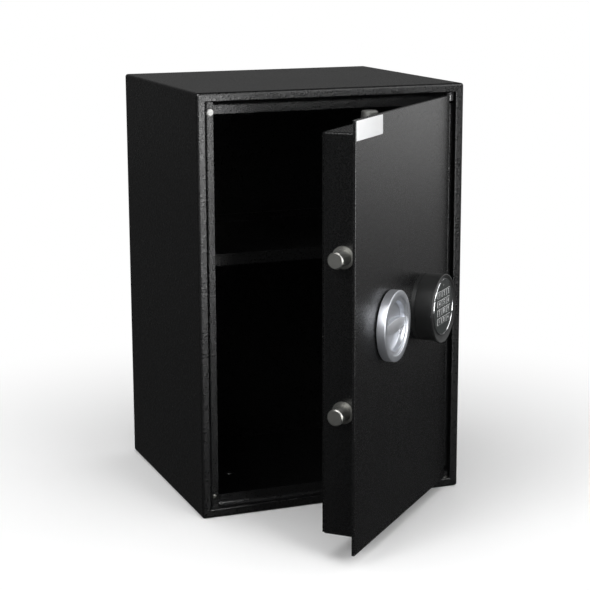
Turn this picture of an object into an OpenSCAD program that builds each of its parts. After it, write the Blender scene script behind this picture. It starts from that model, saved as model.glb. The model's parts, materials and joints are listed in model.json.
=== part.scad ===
// Electronic safe: a sheet steel cabinet with one shelf, and a door with a turn knob, a round keypad lock and
// a bolt work. Millimetres. X is the width, +Y goes to the back and +Z is up. The origin is the middle of the
// underside of the cabinet. The door is drawn shut and then swung to door_angle about its pivot.

/* [Cabinet] */
// Outside width of the cabinet
cabinet_w = 400; // [390:5:440]
// Outside depth of the cabinet
cabinet_d = 350; // [330:5:420]
// Outside height of the cabinet
cabinet_h = 600; // [590:5:640]
// Thickness of the cabinet sheet
wall_t = 3; // [2.5:0.5:3]
// Radius of the folded outside edges
fold_r = 4; // [3:0.5:5]
// Width of the front edge round the door opening
flange_w = 13; // [12:1:13]
// Depth of the door rebate, from the front edge to the stop lip
lip_depth = 11; // [11:0.5:12]
// Width of the stop lip at the two sides
lip_w = 14; // [13:1:14]
// Height of the stop lip at the head and the foot
lip_h = 17; // [15:1:17]
// Thickness of the folded door frame
frame_t = 2.5; // [2:0.5:2.5]
// Radius of the anchor holes in the floor and the back
anchor_r = 6; // [4:0.5:8]
// Distance between the two anchor holes of a pair
anchor_pitch = 200; // [150:10:240]

/* [Shelf] */
// Height of the top of the shelf
shelf_z = 362; // [300:1:380]
// Height of the folded front edge of the shelf
shelf_front_h = 17; // [12:1:25]
// Distance from the front of the cabinet to the shelf
shelf_setback = 85; // [75:5:110]

/* [Door] */
// Angle that the door stands open at rest
door_angle = 44.5; // [0:0.5:95]
// Thickness of the front plate
plate_t = 4; // [3:0.5:4]
// Gap above and below the front plate
plate_gap = 3.5; // [3.5:0.5:5]
// Gap between the front plate and the free side of the frame
side_gap = 4; // [3.5:0.5:5]
// Distance that the front plate stands behind the front edge
plate_recess = 2.5; // [2:0.5:3]
// Overhang of the front plate round the door pan
overhang = 18; // [18:1:20]
// Depth of the door pan behind the front plate
pan_d = 48; // [46:1:52]
// Thickness of the pan sheet
pan_t = 2; // [1.5:0.5:2]

/* [Bolt work] */
// Radius of the locking bolts
bolt_r = 11; // [9:0.5:11]
// Travel of the side bolts
side_travel = 26.5; // [26:0.5:27]
// Travel of the top and bottom bolts
rod_travel = 18; // [17:0.5:18]
// Height of the middle between the two side bolts
side_bolt_mid_z = 305; // [300:1:308]
// Distance between the two side bolts
side_bolt_pitch = 204; // [200:2:210]

/* [Knob] */
// Radius of the turn knob
knob_r = 48; // [44:1:48]
// Thickness of the turn knob
knob_t = 13; // [12:0.5:15]
// Radius of the dish in the knob
dish_r = 38.5; // [36:0.5:38.5]
// Radius of the two finger pockets in the dish
pocket_r = 33.5; // [31:0.5:34]

/* [Keypad] */
// Radius of the keypad housing
keypad_r = 47; // [46:0.5:50]
// Height of the keypad in front of the plate
keypad_h = 32.8; // [32.8:0.2:36]
// Radius of the flared rim of the keypad
rim_r = 48.5; // [48:0.5:50]
// Width of a key
key_w = 16; // [15:0.25:16.25]
// Height of a key
key_h = 9.5; // [9:0.25:9.75]
// Travel of a key
key_travel = 0.8; // [0.5:0.1:0.8]

/* [Hidden] */
$fn = 72;

black_paint = [0.13, 0.13, 0.135];
zinc = [0.72, 0.72, 0.70];
chrome = [0.80, 0.81, 0.83];
satin_alloy = [0.70, 0.71, 0.74];
black_plastic = [0.09, 0.10, 0.10];

front_y = -cabinet_d/2;
open_x = cabinet_w/2 - flange_w;
lip_x = open_x - lip_w;
lip_y = front_y + lip_depth;
lip_z0 = flange_w + lip_h;
mid_z = cabinet_h/2;
seam = 0.4;
rebate_r = 6;
edge_r = 2;

shelf_t = 1.2;
shelf_gap = 1.5;
shelf_hem = 12;
peg_r = 4;
peg_l = 10;
peg_y = [front_y + shelf_setback + 35, cabinet_d/2 - 45];

// The buffer at the top of the free side of the lip and the screw at its foot
jamb_x = open_x - 9;
jamb_screw_z = 27.5;
jamb_hole_r = 2.1;
jamb_stem_r = 2;
buffer_r = 5;
buffer_h = 4.5;

// The hinge axis stands in the rebate, beside the hinge edge of the plate
pivot_x = open_x - 7;
pivot_y = front_y + 7;
pin_r = 4;
pin_fit = 0.06;
washer_r = 6.5;
washer_t = plate_gap - 0.1;
socket_x = 8;
bracket_w = 16;
bracket_h = 64;
lug_h = 8;

plate_x0 = -open_x + side_gap;
plate_x1 = pivot_x - 10;
plate_y0 = front_y + plate_recess;
plate_y1 = plate_y0 + plate_t;
plate_z0 = flange_w + plate_gap;
plate_z1 = cabinet_h - plate_z0;
plate_edge_r = 0.9;
pan_x0 = plate_x0 + overhang;
pan_x1 = plate_x1 - overhang;
pan_y1 = plate_y1 + pan_d;
pan_z0 = plate_z0 + overhang;
pan_z1 = plate_z1 - overhang;
pan_r = 3;
pan_flange = 14;
cover_t = 1.5;
cover_inset = 1.5;
cover_screw_r = 1.7;
cover_screw_x = [pan_x0 + 7, pan_x1 - 7];
cover_screw_z = [pan_z0 + 7, mid_z, pan_z1 - 7];
label_x = [plate_x0 + 1.4, plate_x0 + 91];
label_z = [plate_z1 - 26.5, plate_z1 - 1.4];
label_t = 0.2;
dog_t = 6;
dog_y = lip_y + frame_t + 6.5;
dog_reach = 15;
dog_leg = 26;
dog_z = [pan_z0 + 25, pan_z1 - 25];

// The bolts lie in one plane, and the sheets of the bolt work are in layers round it
bolt_y = plate_y0 + 24;
bolt_fit = 0.08;
bush_r = bolt_r + 2;
bush_flange_r = bolt_r + 4;
bush_flange_t = 1.2;
bush_l = 8;
side_bolt_end = plate_x0 - 9.5;
bar_x0 = plate_x0 + 58;
bar_w = 18;
ear_t = 4;
ear_half_h = 10;
lug_half_h = 14;
cheek_half_w = 7.7;
rivet_r = 4;
side_bolt_z = [side_bolt_mid_z - side_bolt_pitch/2, side_bolt_mid_z + side_bolt_pitch/2];
end_bolt_x = plate_x0 + 105;
end_bolt_reach = 1;
end_bolt_l = 64;
knob_x = plate_x0 + 116.5;
spindle_r = 6;
knob_y1 = plate_y0 - 1;
ledge_d = 2.3;
dish_d = 9.5;
bar_half_h = 9;
bar_end_half_h = 5.5;
bar_recess = 3.1;
cam_r = 26;
cam_y = [plate_y1 + 5.5, plate_y1 + 10.5];
carriage_y = [bolt_y - 2.5, bolt_y + 2.5];
rod_y = [bolt_y + 5.5, bolt_y + 9.5];
cam_pin_r = 3.5;
// A quarter turn takes each cam pin from 45 degrees before to 45 degrees after its middle
carriage_pin_radius = side_travel/sqrt(2);
rod_pin_radius = rod_travel/sqrt(2);
carriage_pin = carriage_pin_radius*[-sin(45), cos(45)];
top_rod_pin = rod_pin_radius*[cos(45), sin(45)];
bottom_rod_pin = rod_pin_radius*[-cos(45), -sin(45)];
carriage_play = 1;
rod_play = 0.8;
stud_r = 4;
stud_head_r = 6.5;
slot_r = stud_r + 0.3;
ear_stud_x = bar_x0 + 29;
ear_z = [mid_z - 68, mid_z + 78];
rod_stud_z = [mid_z - 150, mid_z + 150];
rod_w = 20;
top_foot_x = knob_x + 10.5;
rod_foot = 8;
tongue_w = 12;
tongue_l = 20;

// The lock stands above the carriage and its bolt drops into a notch with a ramp
lock_x = knob_x + 66.5;
lock_w = 61;
lock_z0 = mid_z + 45;
lock_h = 84;
lock_y = [plate_y1 + 3, plate_y1 + 31];
hard_x = [lock_x - 42, lock_x + 68];
hard_z = [lock_z0 - 8, lock_z0 + lock_h + 10];
lock_cover_t = 2;
lock_screw_r = 2.5;
lock_screw_x = [lock_x - lock_w/2 + 6, lock_x + lock_w/2 - 6];
lock_screw_z = [lock_z0 + 6, lock_z0 + lock_h - 6];
lock_bolt_w = 10;
lock_bolt_t = 8;
lock_bolt_l = 40;
lock_travel = 8;
lock_rest_z = mid_z + 26.5;
notch_z = mid_z + 26;
arm_z = [mid_z + 14, mid_z + 34];
arm_x1 = lock_x + 24;
notch_gap = 0.6;

keypad_x = plate_x0 + 246.5;
keypad_y = plate_y0;
base_h = 5.5;
base_t = 2;
joint_w = 1.2;
joint_d = 0.8;
keypad_wall = 3.5;
rim_drop = 1.3;
rim_slope = 2;
keypad_screw_r = 2;
keypad_screw_z = [mid_z - 33, mid_z + 33];
battery = [26.5, 17.5, 48.4];
board_y = [keypad_y - 23.8, keypad_y - 22.2];
board_posts = [[22, 22], [22, -22], [-38.5, 0]];
post_r = 2.5;
mat_t = 1.8;
mat_half_w = 28;
mat_z = [mid_z - 26, mid_z + 30];
cable_hole_r = 6;
cable_r = 2;
cable_sides = 8;
cable_route = [[63.5, -184, 300], [63.5, -176, 300], [63.5, -168, 300], [63, -162.5, 302], [62, -159, 307],
    [60.5, -157.5, 314], [58, -156.5, 324], [56, -156, 336], [54, -155, 349], [50, -153.5, 361],
    [44.5, -152, 371], [38, -151, 377.5], [33.5, -151, 379.5]];
cable_end = [lock_x + lock_w/2, -151, 380];
face_r = 38;
face_z = mid_z + 1.4;
face_sink = 1.1;
face_seat = 0.8;
face_y = keypad_y - keypad_h + face_sink;
face_t = 3;
ring_w = 1.8;
key_pitch = [18, 12.5];
key_top_z = 21.2;
key_proud = 0.8;
key_gap = 0.3;
key_flange = 0.5;
key_foot_t = 1.6;
led_z = 31.5;
led_r = 2;

module block(x0, x1, y0, y1, z0, z1) {
    translate([x0, y0, z0]) cube([x1 - x0, y1 - y0, z1 - z0]);
}

module x_rod(r, x0, x1, y, z) {
    translate([x0, y, z]) rotate([0, 90, 0]) cylinder(r = r, h = x1 - x0);
}

module y_rod(r, y0, y1, x, z) {
    translate([x, y0, z]) rotate([-90, 0, 0]) cylinder(r = r, h = y1 - y0);
}

module z_rod(r, z0, z1, x, y) {
    translate([x, y, z0]) cylinder(r = r, h = z1 - z0);
}

// A box from its front face at y = 0, with its long edges and its front edges rounded
module front_round_box(w, d, h, r) {
    translate([-w/2 + r, 0, -h/2 + r]) cube([w - 2*r, d, h - 2*r]);
    translate([-w/2, r, -h/2 + r]) cube([w, d - r, h - 2*r]);
    translate([-w/2 + r, r, -h/2]) cube([w - 2*r, d - r, h]);
    for (sx = [-1, 1], sz = [-1, 1]) {
        translate([sx*(w/2 - r), r, sz*(h/2 - r)]) rotate([-90, 0, 0]) cylinder(r = r, h = d - r);
        translate([sx*(w/2 - r), r, sz*(h/2 - r)]) sphere(r = r);
    }
    for (sx = [-1, 1]) z_rod(r, -h/2 + r, h/2 - r, sx*(w/2 - r), r);
    for (sz = [-1, 1]) x_rod(r, -w/2 + r, w/2 - r, r, sz*(h/2 - r));
}

// What a radius of r takes off a square edge along z, whose solid lies towards +x and +y
module edge_waste(r, l) {
    difference() {
        translate([-1, -1, 0]) cube([r + 1, r + 1, l]);
        translate([r, r, -1]) cylinder(r = r, h = l + 2);
    }
}

// What the radius of the folded front edge takes off round the door opening, mitred at its corners
module opening_edge_waste() {
    foot_and_head() translate([-open_x, front_y, flange_w]) rotate([0, 90, 0]) edge_waste(edge_r, 2*open_x);
    for (side = [0, 1]) mirror([side, 0, 0]) {
        translate([open_x, front_y, flange_w]) edge_waste(edge_r, cabinet_h - 2*flange_w);
        foot_and_head() intersection() {
            translate([open_x, front_y, flange_w - edge_r]) edge_waste(edge_r, edge_r);
            translate([open_x, front_y, flange_w]) rotate([0, 90, 0]) edge_waste(edge_r, edge_r);
        }
    }
}

module about_pivot() {
    translate([pivot_x, pivot_y, 0]) rotate([0, 0, door_angle])
        translate([-pivot_x, -pivot_y, 0]) children();
}

// Mirrors what is at the foot of the cabinet or the door to its head as well
module foot_and_head() {
    children();
    translate([0, 0, cabinet_h]) mirror([0, 0, 1]) children();
}

// Cabinet

module cabinet_shell() {
    color(black_paint) difference() {
        translate([0, front_y, mid_z]) front_round_box(cabinet_w, cabinet_d, cabinet_h, fold_r);
        block(-cabinet_w/2 + wall_t, cabinet_w/2 - wall_t, front_y + wall_t, cabinet_d/2 + 1,
              wall_t, cabinet_h - wall_t);
        block(-open_x, open_x, front_y - 1, front_y + wall_t + 1, flange_w, cabinet_h - flange_w);
        opening_edge_waste();
        for (sx = [-1, 1]) z_rod(anchor_r, -1, wall_t + 1, sx*anchor_pitch/2, 0);
    }
}

module back_panel() {
    color(black_paint) difference() {
        block(-cabinet_w/2 + wall_t, cabinet_w/2 - wall_t, cabinet_d/2 - wall_t, cabinet_d/2,
              wall_t, cabinet_h - wall_t);
        for (sx = [-1, 1])
            y_rod(anchor_r, cabinet_d/2 - wall_t - 1, cabinet_d/2 + 1, sx*anchor_pitch/2, mid_z);
    }
}

// The section of an upright of the frame: the rebate wall, the stop lip and the radius between them
module frame_section() {
    back = lip_y + frame_t;
    translate([open_x, front_y + wall_t]) square([frame_t, back - front_y - wall_t]);
    translate([lip_x, lip_y]) square([lip_w + frame_t, frame_t]);
    difference() {
        translate([open_x - rebate_r, lip_y - rebate_r]) square(rebate_r);
        translate([open_x - rebate_r, lip_y - rebate_r]) circle(r = rebate_r);
    }
}

// The radius is cut back to a flat seat round the screw and the buffer
module frame_left() {
    color(black_paint) difference() {
        mirror([1, 0, 0]) translate([0, 0, flange_w]) linear_extrude(cabinet_h - 2*flange_w) frame_section();
        for (z = [jamb_screw_z, cabinet_h - jamb_screw_z]) {
            y_rod(jamb_hole_r, lip_y - 1, lip_y + frame_t + 1, -jamb_x, z);
            y_rod(buffer_r + 0.3, lip_y - rebate_r - 1, lip_y, -jamb_x, z);
        }
    }
}

// The hinge side is cut away round the hinge lugs
module frame_right() {
    cut = plate_gap + lug_h + 5;
    color(black_paint) difference() {
        translate([0, 0, flange_w]) linear_extrude(cabinet_h - 2*flange_w) frame_section();
        foot_and_head() block(lip_x - 1, open_x, front_y, lip_y + frame_t + 1, flange_w - 1, flange_w + cut);
    }
}

module frame_sill() {
    difference() {
        union() {
            block(-open_x, open_x, front_y + wall_t, lip_y + frame_t, flange_w - frame_t, flange_w);
            block(-lip_x + seam, lip_x - seam, lip_y, lip_y + frame_t, flange_w, lip_z0);
            difference() {
                block(-lip_x + seam, lip_x - seam, lip_y - rebate_r, lip_y, flange_w, flange_w + rebate_r);
                x_rod(rebate_r, -open_x, open_x, lip_y - rebate_r, flange_w + rebate_r);
            }
        }
        z_rod(pin_r + pin_fit, 0, flange_w + 1, pivot_x, pivot_y);
    }
}

module frame_bottom() {
    color(black_paint) frame_sill();
}

module frame_top() {
    color(black_paint) translate([0, 0, cabinet_h]) mirror([0, 0, 1]) frame_sill();
}

module hinge_sockets() {
    color(black_paint) foot_and_head() difference() {
        block(pivot_x - socket_x, pivot_x + socket_x, front_y + wall_t, lip_y + frame_t,
              wall_t, flange_w - frame_t);
        z_rod(pin_r + pin_fit, 0, flange_w, pivot_x, pivot_y);
    }
}

module shelf() {
    half_w = cabinet_w/2 - wall_t - shelf_gap;
    y0 = front_y + shelf_setback;
    y1 = cabinet_d/2 - wall_t - shelf_gap;
    z0 = shelf_z - shelf_front_h;
    color(black_paint) {
        block(-half_w, half_w, y0, y1, shelf_z - shelf_t, shelf_z);
        block(-half_w, half_w, y0, y0 + shelf_t, z0, shelf_z - shelf_t/2);
        block(-half_w, half_w, y0, y0 + shelf_hem, z0, z0 + shelf_t);
        block(-half_w, half_w, y1 - shelf_t, y1, shelf_z - shelf_t/2, shelf_z + shelf_hem);
    }
}

module shelf_supports() {
    z = shelf_z - shelf_t - peg_r;
    x1 = cabinet_w/2 - wall_t;
    color(zinc) for (side = [0, 1], y = peg_y) mirror([side, 0, 0]) x_rod(peg_r, x1 - peg_l, x1, y, z);
}

// A soft white cap on a stem through the lip, which the door plate closes against
module door_buffer() {
    z = cabinet_h - jamb_screw_z;
    color([0.95, 0.95, 0.94]) {
        y_rod(jamb_stem_r, lip_y - 0.5, lip_y + frame_t + 0.5, -jamb_x, z);
        y_rod(jamb_stem_r + 1, lip_y + frame_t, lip_y + frame_t + 1.5, -jamb_x, z);
        intersection() {
            y_rod(buffer_r, lip_y - buffer_h, lip_y, -jamb_x, z);
            translate([-jamb_x, lip_y + 1, z]) sphere(r = buffer_r + 0.6);
        }
    }
}

// The cross in the head of a screw, sunk from y = 0
module cross_recess(l, w, d) {
    for (a = [0, 90]) rotate([0, a, 0]) translate([-l/2, -0.01, -w/2]) cube([l, d, w]);
}

module jamb_screw() {
    color(zinc) difference() {
        union() {
            y_rod(jamb_stem_r, lip_y - 0.5, lip_y + frame_t + 6, -jamb_x, jamb_screw_z);
            intersection() {
                y_rod(4, lip_y - 2.4, lip_y, -jamb_x, jamb_screw_z);
                translate([-jamb_x, lip_y + 2.4, jamb_screw_z]) sphere(r = 5);
            }
        }
        translate([-jamb_x, lip_y - 2.6, jamb_screw_z]) cross_recess(4, 0.9, 1.6);
    }
}

// Door

module door_plate() {
    color(black_paint) about_pivot() difference() {
        translate([(plate_x0 + plate_x1)/2, plate_y0, mid_z])
            front_round_box(plate_x1 - plate_x0, plate_t, plate_z1 - plate_z0, plate_edge_r);
        y_rod(spindle_r + 3, plate_y0 - 1, plate_y1 + 1, knob_x, mid_z);
        y_rod(cable_hole_r, plate_y0 - 1, plate_y1 + 1, keypad_x, mid_z);
        for (z = keypad_screw_z) y_rod(keypad_screw_r, plate_y0 - 1, plate_y1 + 1, keypad_x, z);
    }
}

module cover_screw_holes(y0, y1) {
    for (x = cover_screw_x, z = cover_screw_z) y_rod(cover_screw_r, y0, y1, x, z);
}

module door_pan() {
    w = pan_x1 - pan_x0;
    h = pan_z1 - pan_z0;
    x = (pan_x0 + pan_x1)/2;
    color(black_paint) about_pivot() difference() {
        translate([x, pan_y1, mid_z]) mirror([0, 1, 0]) front_round_box(w, pan_d, h, pan_r);
        block(pan_x0 + pan_t, pan_x1 - pan_t, plate_y1 - 1, pan_y1 - pan_t, pan_z0 + pan_t, pan_z1 - pan_t);
        block(pan_x0 + pan_flange, pan_x1 - pan_flange, plate_y1, pan_y1 + 1,
              pan_z0 + pan_flange, pan_z1 - pan_flange);
        for (z = side_bolt_z) x_rod(bush_r, pan_x0 - 1, pan_x0 + pan_t + 1, bolt_y, z);
        foot_and_head() z_rod(bush_r, pan_z0 - 1, pan_z0 + pan_t + 1, end_bolt_x, bolt_y);
        cover_screw_holes(pan_y1 - pan_t - 1, pan_y1 + 1);
    }
}

module rear_cover() {
    color(black_paint) about_pivot() difference() {
        block(pan_x0 + cover_inset, pan_x1 - cover_inset, pan_y1, pan_y1 + cover_t,
              pan_z0 + cover_inset, pan_z1 - cover_inset);
        cover_screw_holes(pan_y1 - 1, pan_y1 + cover_t + 1);
    }
}

module cover_screws() {
    head = pan_y1 + cover_t;
    color(zinc) about_pivot() for (x = cover_screw_x, z = cover_screw_z) difference() {
        union() {
            y_rod(cover_screw_r, pan_y1 - pan_t - 4, head + 0.5, x, z);
            intersection() {
                y_rod(3.5, head, head + 2.2, x, z);
                translate([x, head - 2, z]) sphere(r = 4.3);
            }
        }
        translate([x, head + 2.4, z]) mirror([0, 1, 0]) cross_recess(3.6, 0.8, 1.5);
    }
}

module door_label() {
    color([0.96, 0.96, 0.96]) about_pivot()
        block(label_x[0], label_x[1], plate_y0 - label_t, plate_y0, label_z[0], label_z[1]);
}

// A leaf behind the hinge edge of the plate, with a lug that carries the pin
module hinge_brackets() {
    lug_y = lip_y - 1;
    color(black_paint) about_pivot() foot_and_head() difference() {
        union() {
            block(plate_x1 - bracket_w, plate_x1, plate_y1, lug_y, plate_z0, plate_z0 + bracket_h);
            block(plate_x1 - bracket_w, pivot_x, plate_y1, lug_y, plate_z0, plate_z0 + lug_h);
            z_rod(washer_r, plate_z0, plate_z0 + lug_h, pivot_x, pivot_y);
        }
        z_rod(pin_r, plate_z0 - 1, plate_z0 + lug_h + 1, pivot_x, pivot_y);
    }
}

module hinge_pins() {
    color(zinc) about_pivot() foot_and_head() z_rod(pin_r, wall_t + 1, plate_z0 + lug_h, pivot_x, pivot_y);
}

module hinge_washers() {
    color(zinc) about_pivot() foot_and_head() difference() {
        z_rod(washer_r, plate_z0 - washer_t, plate_z0, pivot_x, pivot_y);
        z_rod(pin_r, 0, plate_z0 + 1, pivot_x, pivot_y);
    }
}

// A fixed angle bar that hooks behind the lip on the hinge side
module dog_bar() {
    color(zinc) about_pivot() {
        block(pan_x1, pan_x1 + dog_t, dog_y, dog_y + dog_leg, dog_z[0], dog_z[1]);
        block(pan_x1 + dog_t/2, pivot_x + dog_reach - 10, dog_y, dog_y + dog_t, dog_z[0], dog_z[1]);
    }
}

// A flanged sleeve from its flange at z = 0 inwards along +z
module bolt_bush() {
    difference() {
        union() {
            translate([0, 0, -bush_flange_t]) cylinder(r = bush_flange_r, h = bush_flange_t);
            cylinder(r = bush_r, h = bush_l);
        }
        translate([0, 0, -bush_flange_t - 1])
            cylinder(r = bolt_r + bolt_fit, h = bush_l + bush_flange_t + 2);
    }
}

module bolt_bushes() {
    color(chrome) about_pivot() {
        for (z = side_bolt_z) translate([pan_x0, bolt_y, z]) rotate([0, 90, 0]) bolt_bush();
        foot_and_head() translate([end_bolt_x, bolt_y, pan_z0]) bolt_bush();
    }
}

module spindle_bush() {
    color([0.75, 0.62, 0.36]) about_pivot() difference() {
        union() {
            y_rod(spindle_r + 3, plate_y0, cam_y[0] - 0.3, knob_x, mid_z);
            y_rod(spindle_r + 6, plate_y1, plate_y1 + 1.5, knob_x, mid_z);
        }
        y_rod(spindle_r + pin_fit, plate_y0 - 2, cam_y[0] + 1, knob_x, mid_z);
    }
}

module hard_plate() {
    color(zinc) about_pivot() difference() {
        block(hard_x[0], hard_x[1], plate_y1, lock_y[0], hard_z[0], hard_z[1]);
        for (x = lock_screw_x, z = lock_screw_z) y_rod(lock_screw_r, plate_y1 - 1, lock_y[0] + 1, x, z);
    }
}

// A layer of the lock case with its four screw holes
module lock_layer(y0, y1) {
    difference() {
        block(lock_x - lock_w/2, lock_x + lock_w/2, y0, y1, lock_z0, lock_z0 + lock_h);
        for (x = lock_screw_x, z = lock_screw_z) y_rod(lock_screw_r, y0 - 1, y1 + 1, x, z);
    }
}

module lock_body() {
    half_w = lock_bolt_w/2 + 0.3;
    half_t = lock_bolt_t/2 + 0.3;
    color([0.55, 0.55, 0.53]) about_pivot() difference() {
        lock_layer(lock_y[0], lock_y[1] - lock_cover_t);
        block(lock_x - half_w, lock_x + half_w, bolt_y - half_t, bolt_y + half_t,
              lock_z0 - 1, lock_rest_z + lock_bolt_l + lock_travel + 1);
    }
}

module lock_cover() {
    color([0.62, 0.62, 0.60]) about_pivot() lock_layer(lock_y[1] - lock_cover_t, lock_y[1]);
}

module lock_screws() {
    color(zinc) about_pivot() for (x = lock_screw_x, z = lock_screw_z) {
        y_rod(lock_screw_r, plate_y1, lock_y[1] + 0.5, x, z);
        y_rod(lock_screw_r + 2, lock_y[1], lock_y[1] + 3.5, x, z);
    }
}

// A stud with a collar in front of the sheet that it guides and a head behind it
module guide_stud(layer, x, z) {
    y_rod(stud_head_r, plate_y1, layer[0] - 0.3, x, z);
    y_rod(stud_r, layer[0] - 1, layer[1] + 0.8, x, z);
    y_rod(stud_head_r, layer[1] + 0.3, layer[1] + 2.5, x, z);
}

module guide_studs() {
    color(zinc) about_pivot() {
        for (z = ear_z) guide_stud(carriage_y, ear_stud_x, z);
        for (z = rod_stud_z) guide_stud(rod_y, end_bolt_x, z);
    }
}

// Keypad

// The base is a cup with a cable hole, and three posts that carry the circuit board
module keypad_base() {
    color(black_plastic) about_pivot() {
        difference() {
            y_rod(keypad_r, keypad_y - base_h, keypad_y, keypad_x, mid_z);
            y_rod(keypad_r - keypad_wall, keypad_y - base_h - 1, keypad_y - base_t, keypad_x, mid_z);
            y_rod(cable_hole_r, keypad_y - base_t - 1, keypad_y + 1, keypad_x, mid_z);
            for (z = keypad_screw_z) y_rod(keypad_screw_r, keypad_y - base_t - 1, keypad_y + 1, keypad_x, z);
        }
        for (p = board_posts) y_rod(post_r, board_y[1], keypad_y - base_t, keypad_x + p[0], mid_z + p[1]);
    }
}

module keypad_screws() {
    floor_y = keypad_y - base_t;
    color(zinc) about_pivot() for (z = keypad_screw_z) {
        y_rod(keypad_screw_r, floor_y - 1, plate_y1 + 4, keypad_x, z);
        y_rod(keypad_screw_r + 1.8, floor_y - 2.5, floor_y, keypad_x, z);
    }
}

// A block battery stands on end beside the cable
module keypad_battery() {
    x1 = keypad_x - 7.5;
    y1 = keypad_y - base_t - 0.2;
    color([0.25, 0.27, 0.30]) about_pivot()
        block(x1 - battery[0], x1, y1 - battery[1], y1, mid_z - battery[2]/2, mid_z + battery[2]/2);
}

module keypad_board() {
    color([0.10, 0.35, 0.20]) about_pivot()
        y_rod(keypad_r - keypad_wall - 0.5, board_y[0], board_y[1], keypad_x, mid_z);
}

// A soft mat on the board springs the keys back
module key_mat() {
    color([0.35, 0.35, 0.36]) about_pivot()
        block(keypad_x - mat_half_w, keypad_x + mat_half_w, board_y[0] - mat_t, board_y[0],
              mat_z[0], mat_z[1]);
}

// The cable runs from the board through the plate, and bends up and across to the side of the lock
module lock_cable() {
    path = concat([[keypad_x, board_y[1], mid_z]], cable_route, [cable_end]);
    n = len(path);
    function unit(v) = v/norm(v);
    function along(i) = unit(path[min(i + 1, n - 1)] - path[max(i - 1, 0)]);
    function side(i) = unit(cross(along(i), [0.35, -0.45, 0.82]));
    function spoke(i, a) = cos(a)*side(i) + sin(a)*cross(along(i), side(i));
    points = [for (i = [0:n - 1], k = [0:cable_sides - 1]) path[i] + cable_r*spoke(i, 360*k/cable_sides)];
    walls = [for (i = [0:n - 2], k = [0:cable_sides - 1], half = [0, 1])
        let (a = i*cable_sides + k, b = i*cable_sides + (k + 1) % cable_sides)
        half == 0 ? [a, b, a + cable_sides] : [b, b + cable_sides, a + cable_sides]];
    ends = [[for (k = [cable_sides - 1:-1:0]) k], [for (k = [0:cable_sides - 1]) (n - 1)*cable_sides + k]];
    color([0.08, 0.08, 0.08]) about_pivot() polyhedron(points, concat(walls, ends));
}

// The flared rim from its front edge at z = 0 backwards along +z, with a shallow cone inside it
module keypad_rim() {
    rotate_extrude() polygon([
        [0, rim_slope], [face_r + 3, rim_slope], [rim_r - 1.6, 0], [rim_r - 0.5, 0.2], [rim_r, 0.8],
        [rim_r, 2.8], [keypad_r - 1.5, 9], [0, 9]]);
}

// A straight wall with a groove where it meets the base, its rim a little below its middle and the seat of
// the face a little above it
module keypad_housing() {
    front = keypad_y - keypad_h;
    seat_y = face_y + face_t;
    color(black_plastic) about_pivot() difference() {
        union() {
            y_rod(keypad_r - joint_d, front + 2, keypad_y - base_h, keypad_x, mid_z);
            y_rod(keypad_r, front + 2, keypad_y - base_h - joint_w, keypad_x, mid_z);
            translate([keypad_x, front, mid_z - rim_drop]) rotate([-90, 0, 0]) keypad_rim();
        }
        y_rod(face_r + ring_w, front - 1, seat_y, keypad_x, face_z);
        y_rod(face_r - face_seat, seat_y - 1, seat_y + 3, keypad_x, face_z);
        y_rod(keypad_r - keypad_wall, seat_y + 1.5, keypad_y - base_h + 1, keypad_x, mid_z);
    }
}

function key_place(k) = [
    keypad_x + key_pitch[0]*((k - 1) % 3 - 1),
    mid_z + key_top_z - key_pitch[1]*floor((k - 1)/3)];

module keypad_face() {
    color([0.10, 0.105, 0.11]) about_pivot() difference() {
        y_rod(face_r, face_y, face_y + face_t, keypad_x, face_z);
        for (k = [1:12]) {
            p = key_place(k);
            w = key_w/2 + key_gap;
            h = key_h/2 + key_gap;
            block(p[0] - w, p[0] + w, face_y - 1, face_y + face_t + 1, p[1] - h, p[1] + h);
        }
        y_rod(led_r, face_y - 1, face_y + face_t + 1, keypad_x, mid_z + led_z);
    }
}

module keypad_ring() {
    color(chrome) about_pivot() difference() {
        y_rod(face_r + ring_w, face_y - 0.7, face_y + face_t, keypad_x, face_z);
        y_rod(face_r, face_y - 2, face_y + face_t + 1, keypad_x, face_z);
    }
}

module led_lens() {
    stem = face_t + 2;
    color([0.16, 0.17, 0.16]) about_pivot()
        translate([keypad_x, face_y + stem, mid_z + led_z]) rotate([90, 0, 0]) rotate_extrude() polygon([
            [0, 0], [led_r, 0], [led_r, stem], [led_r - 0.2, stem + 0.25], [led_r - 0.7, stem + 0.5],
            [led_r - 1.3, stem + 0.65], [0, stem + 0.7]]);
}

// A key stands a little proud of the face and has a wider foot behind it
module key(k) {
    p = key_place(k);
    foot = face_y + face_t + key_travel - 0.6;
    color([0.16, 0.17, 0.17]) about_pivot() {
        block(p[0] - key_w/2, p[0] + key_w/2, face_y - key_proud, foot + key_foot_t,
              p[1] - key_h/2, p[1] + key_h/2);
        block(p[0] - key_w/2 - key_flange, p[0] + key_w/2 + key_flange, foot, foot + key_foot_t,
              p[1] - key_h/2 - key_flange, p[1] + key_h/2 + key_flange);
    }
}

// Turn knob and cam

// The grip is a bar between the two pockets, and its two long edges are arcs
module grip_outline() {
    bow = bar_half_h - bar_end_half_h;
    arc_r = (pocket_r*pocket_r + bow*bow)/(2*bow);
    intersection() {
        translate([0, bar_half_h - arc_r]) circle(r = arc_r);
        translate([0, arc_r - bar_half_h]) circle(r = arc_r);
        circle(r = pocket_r + 0.5);
    }
}

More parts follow.
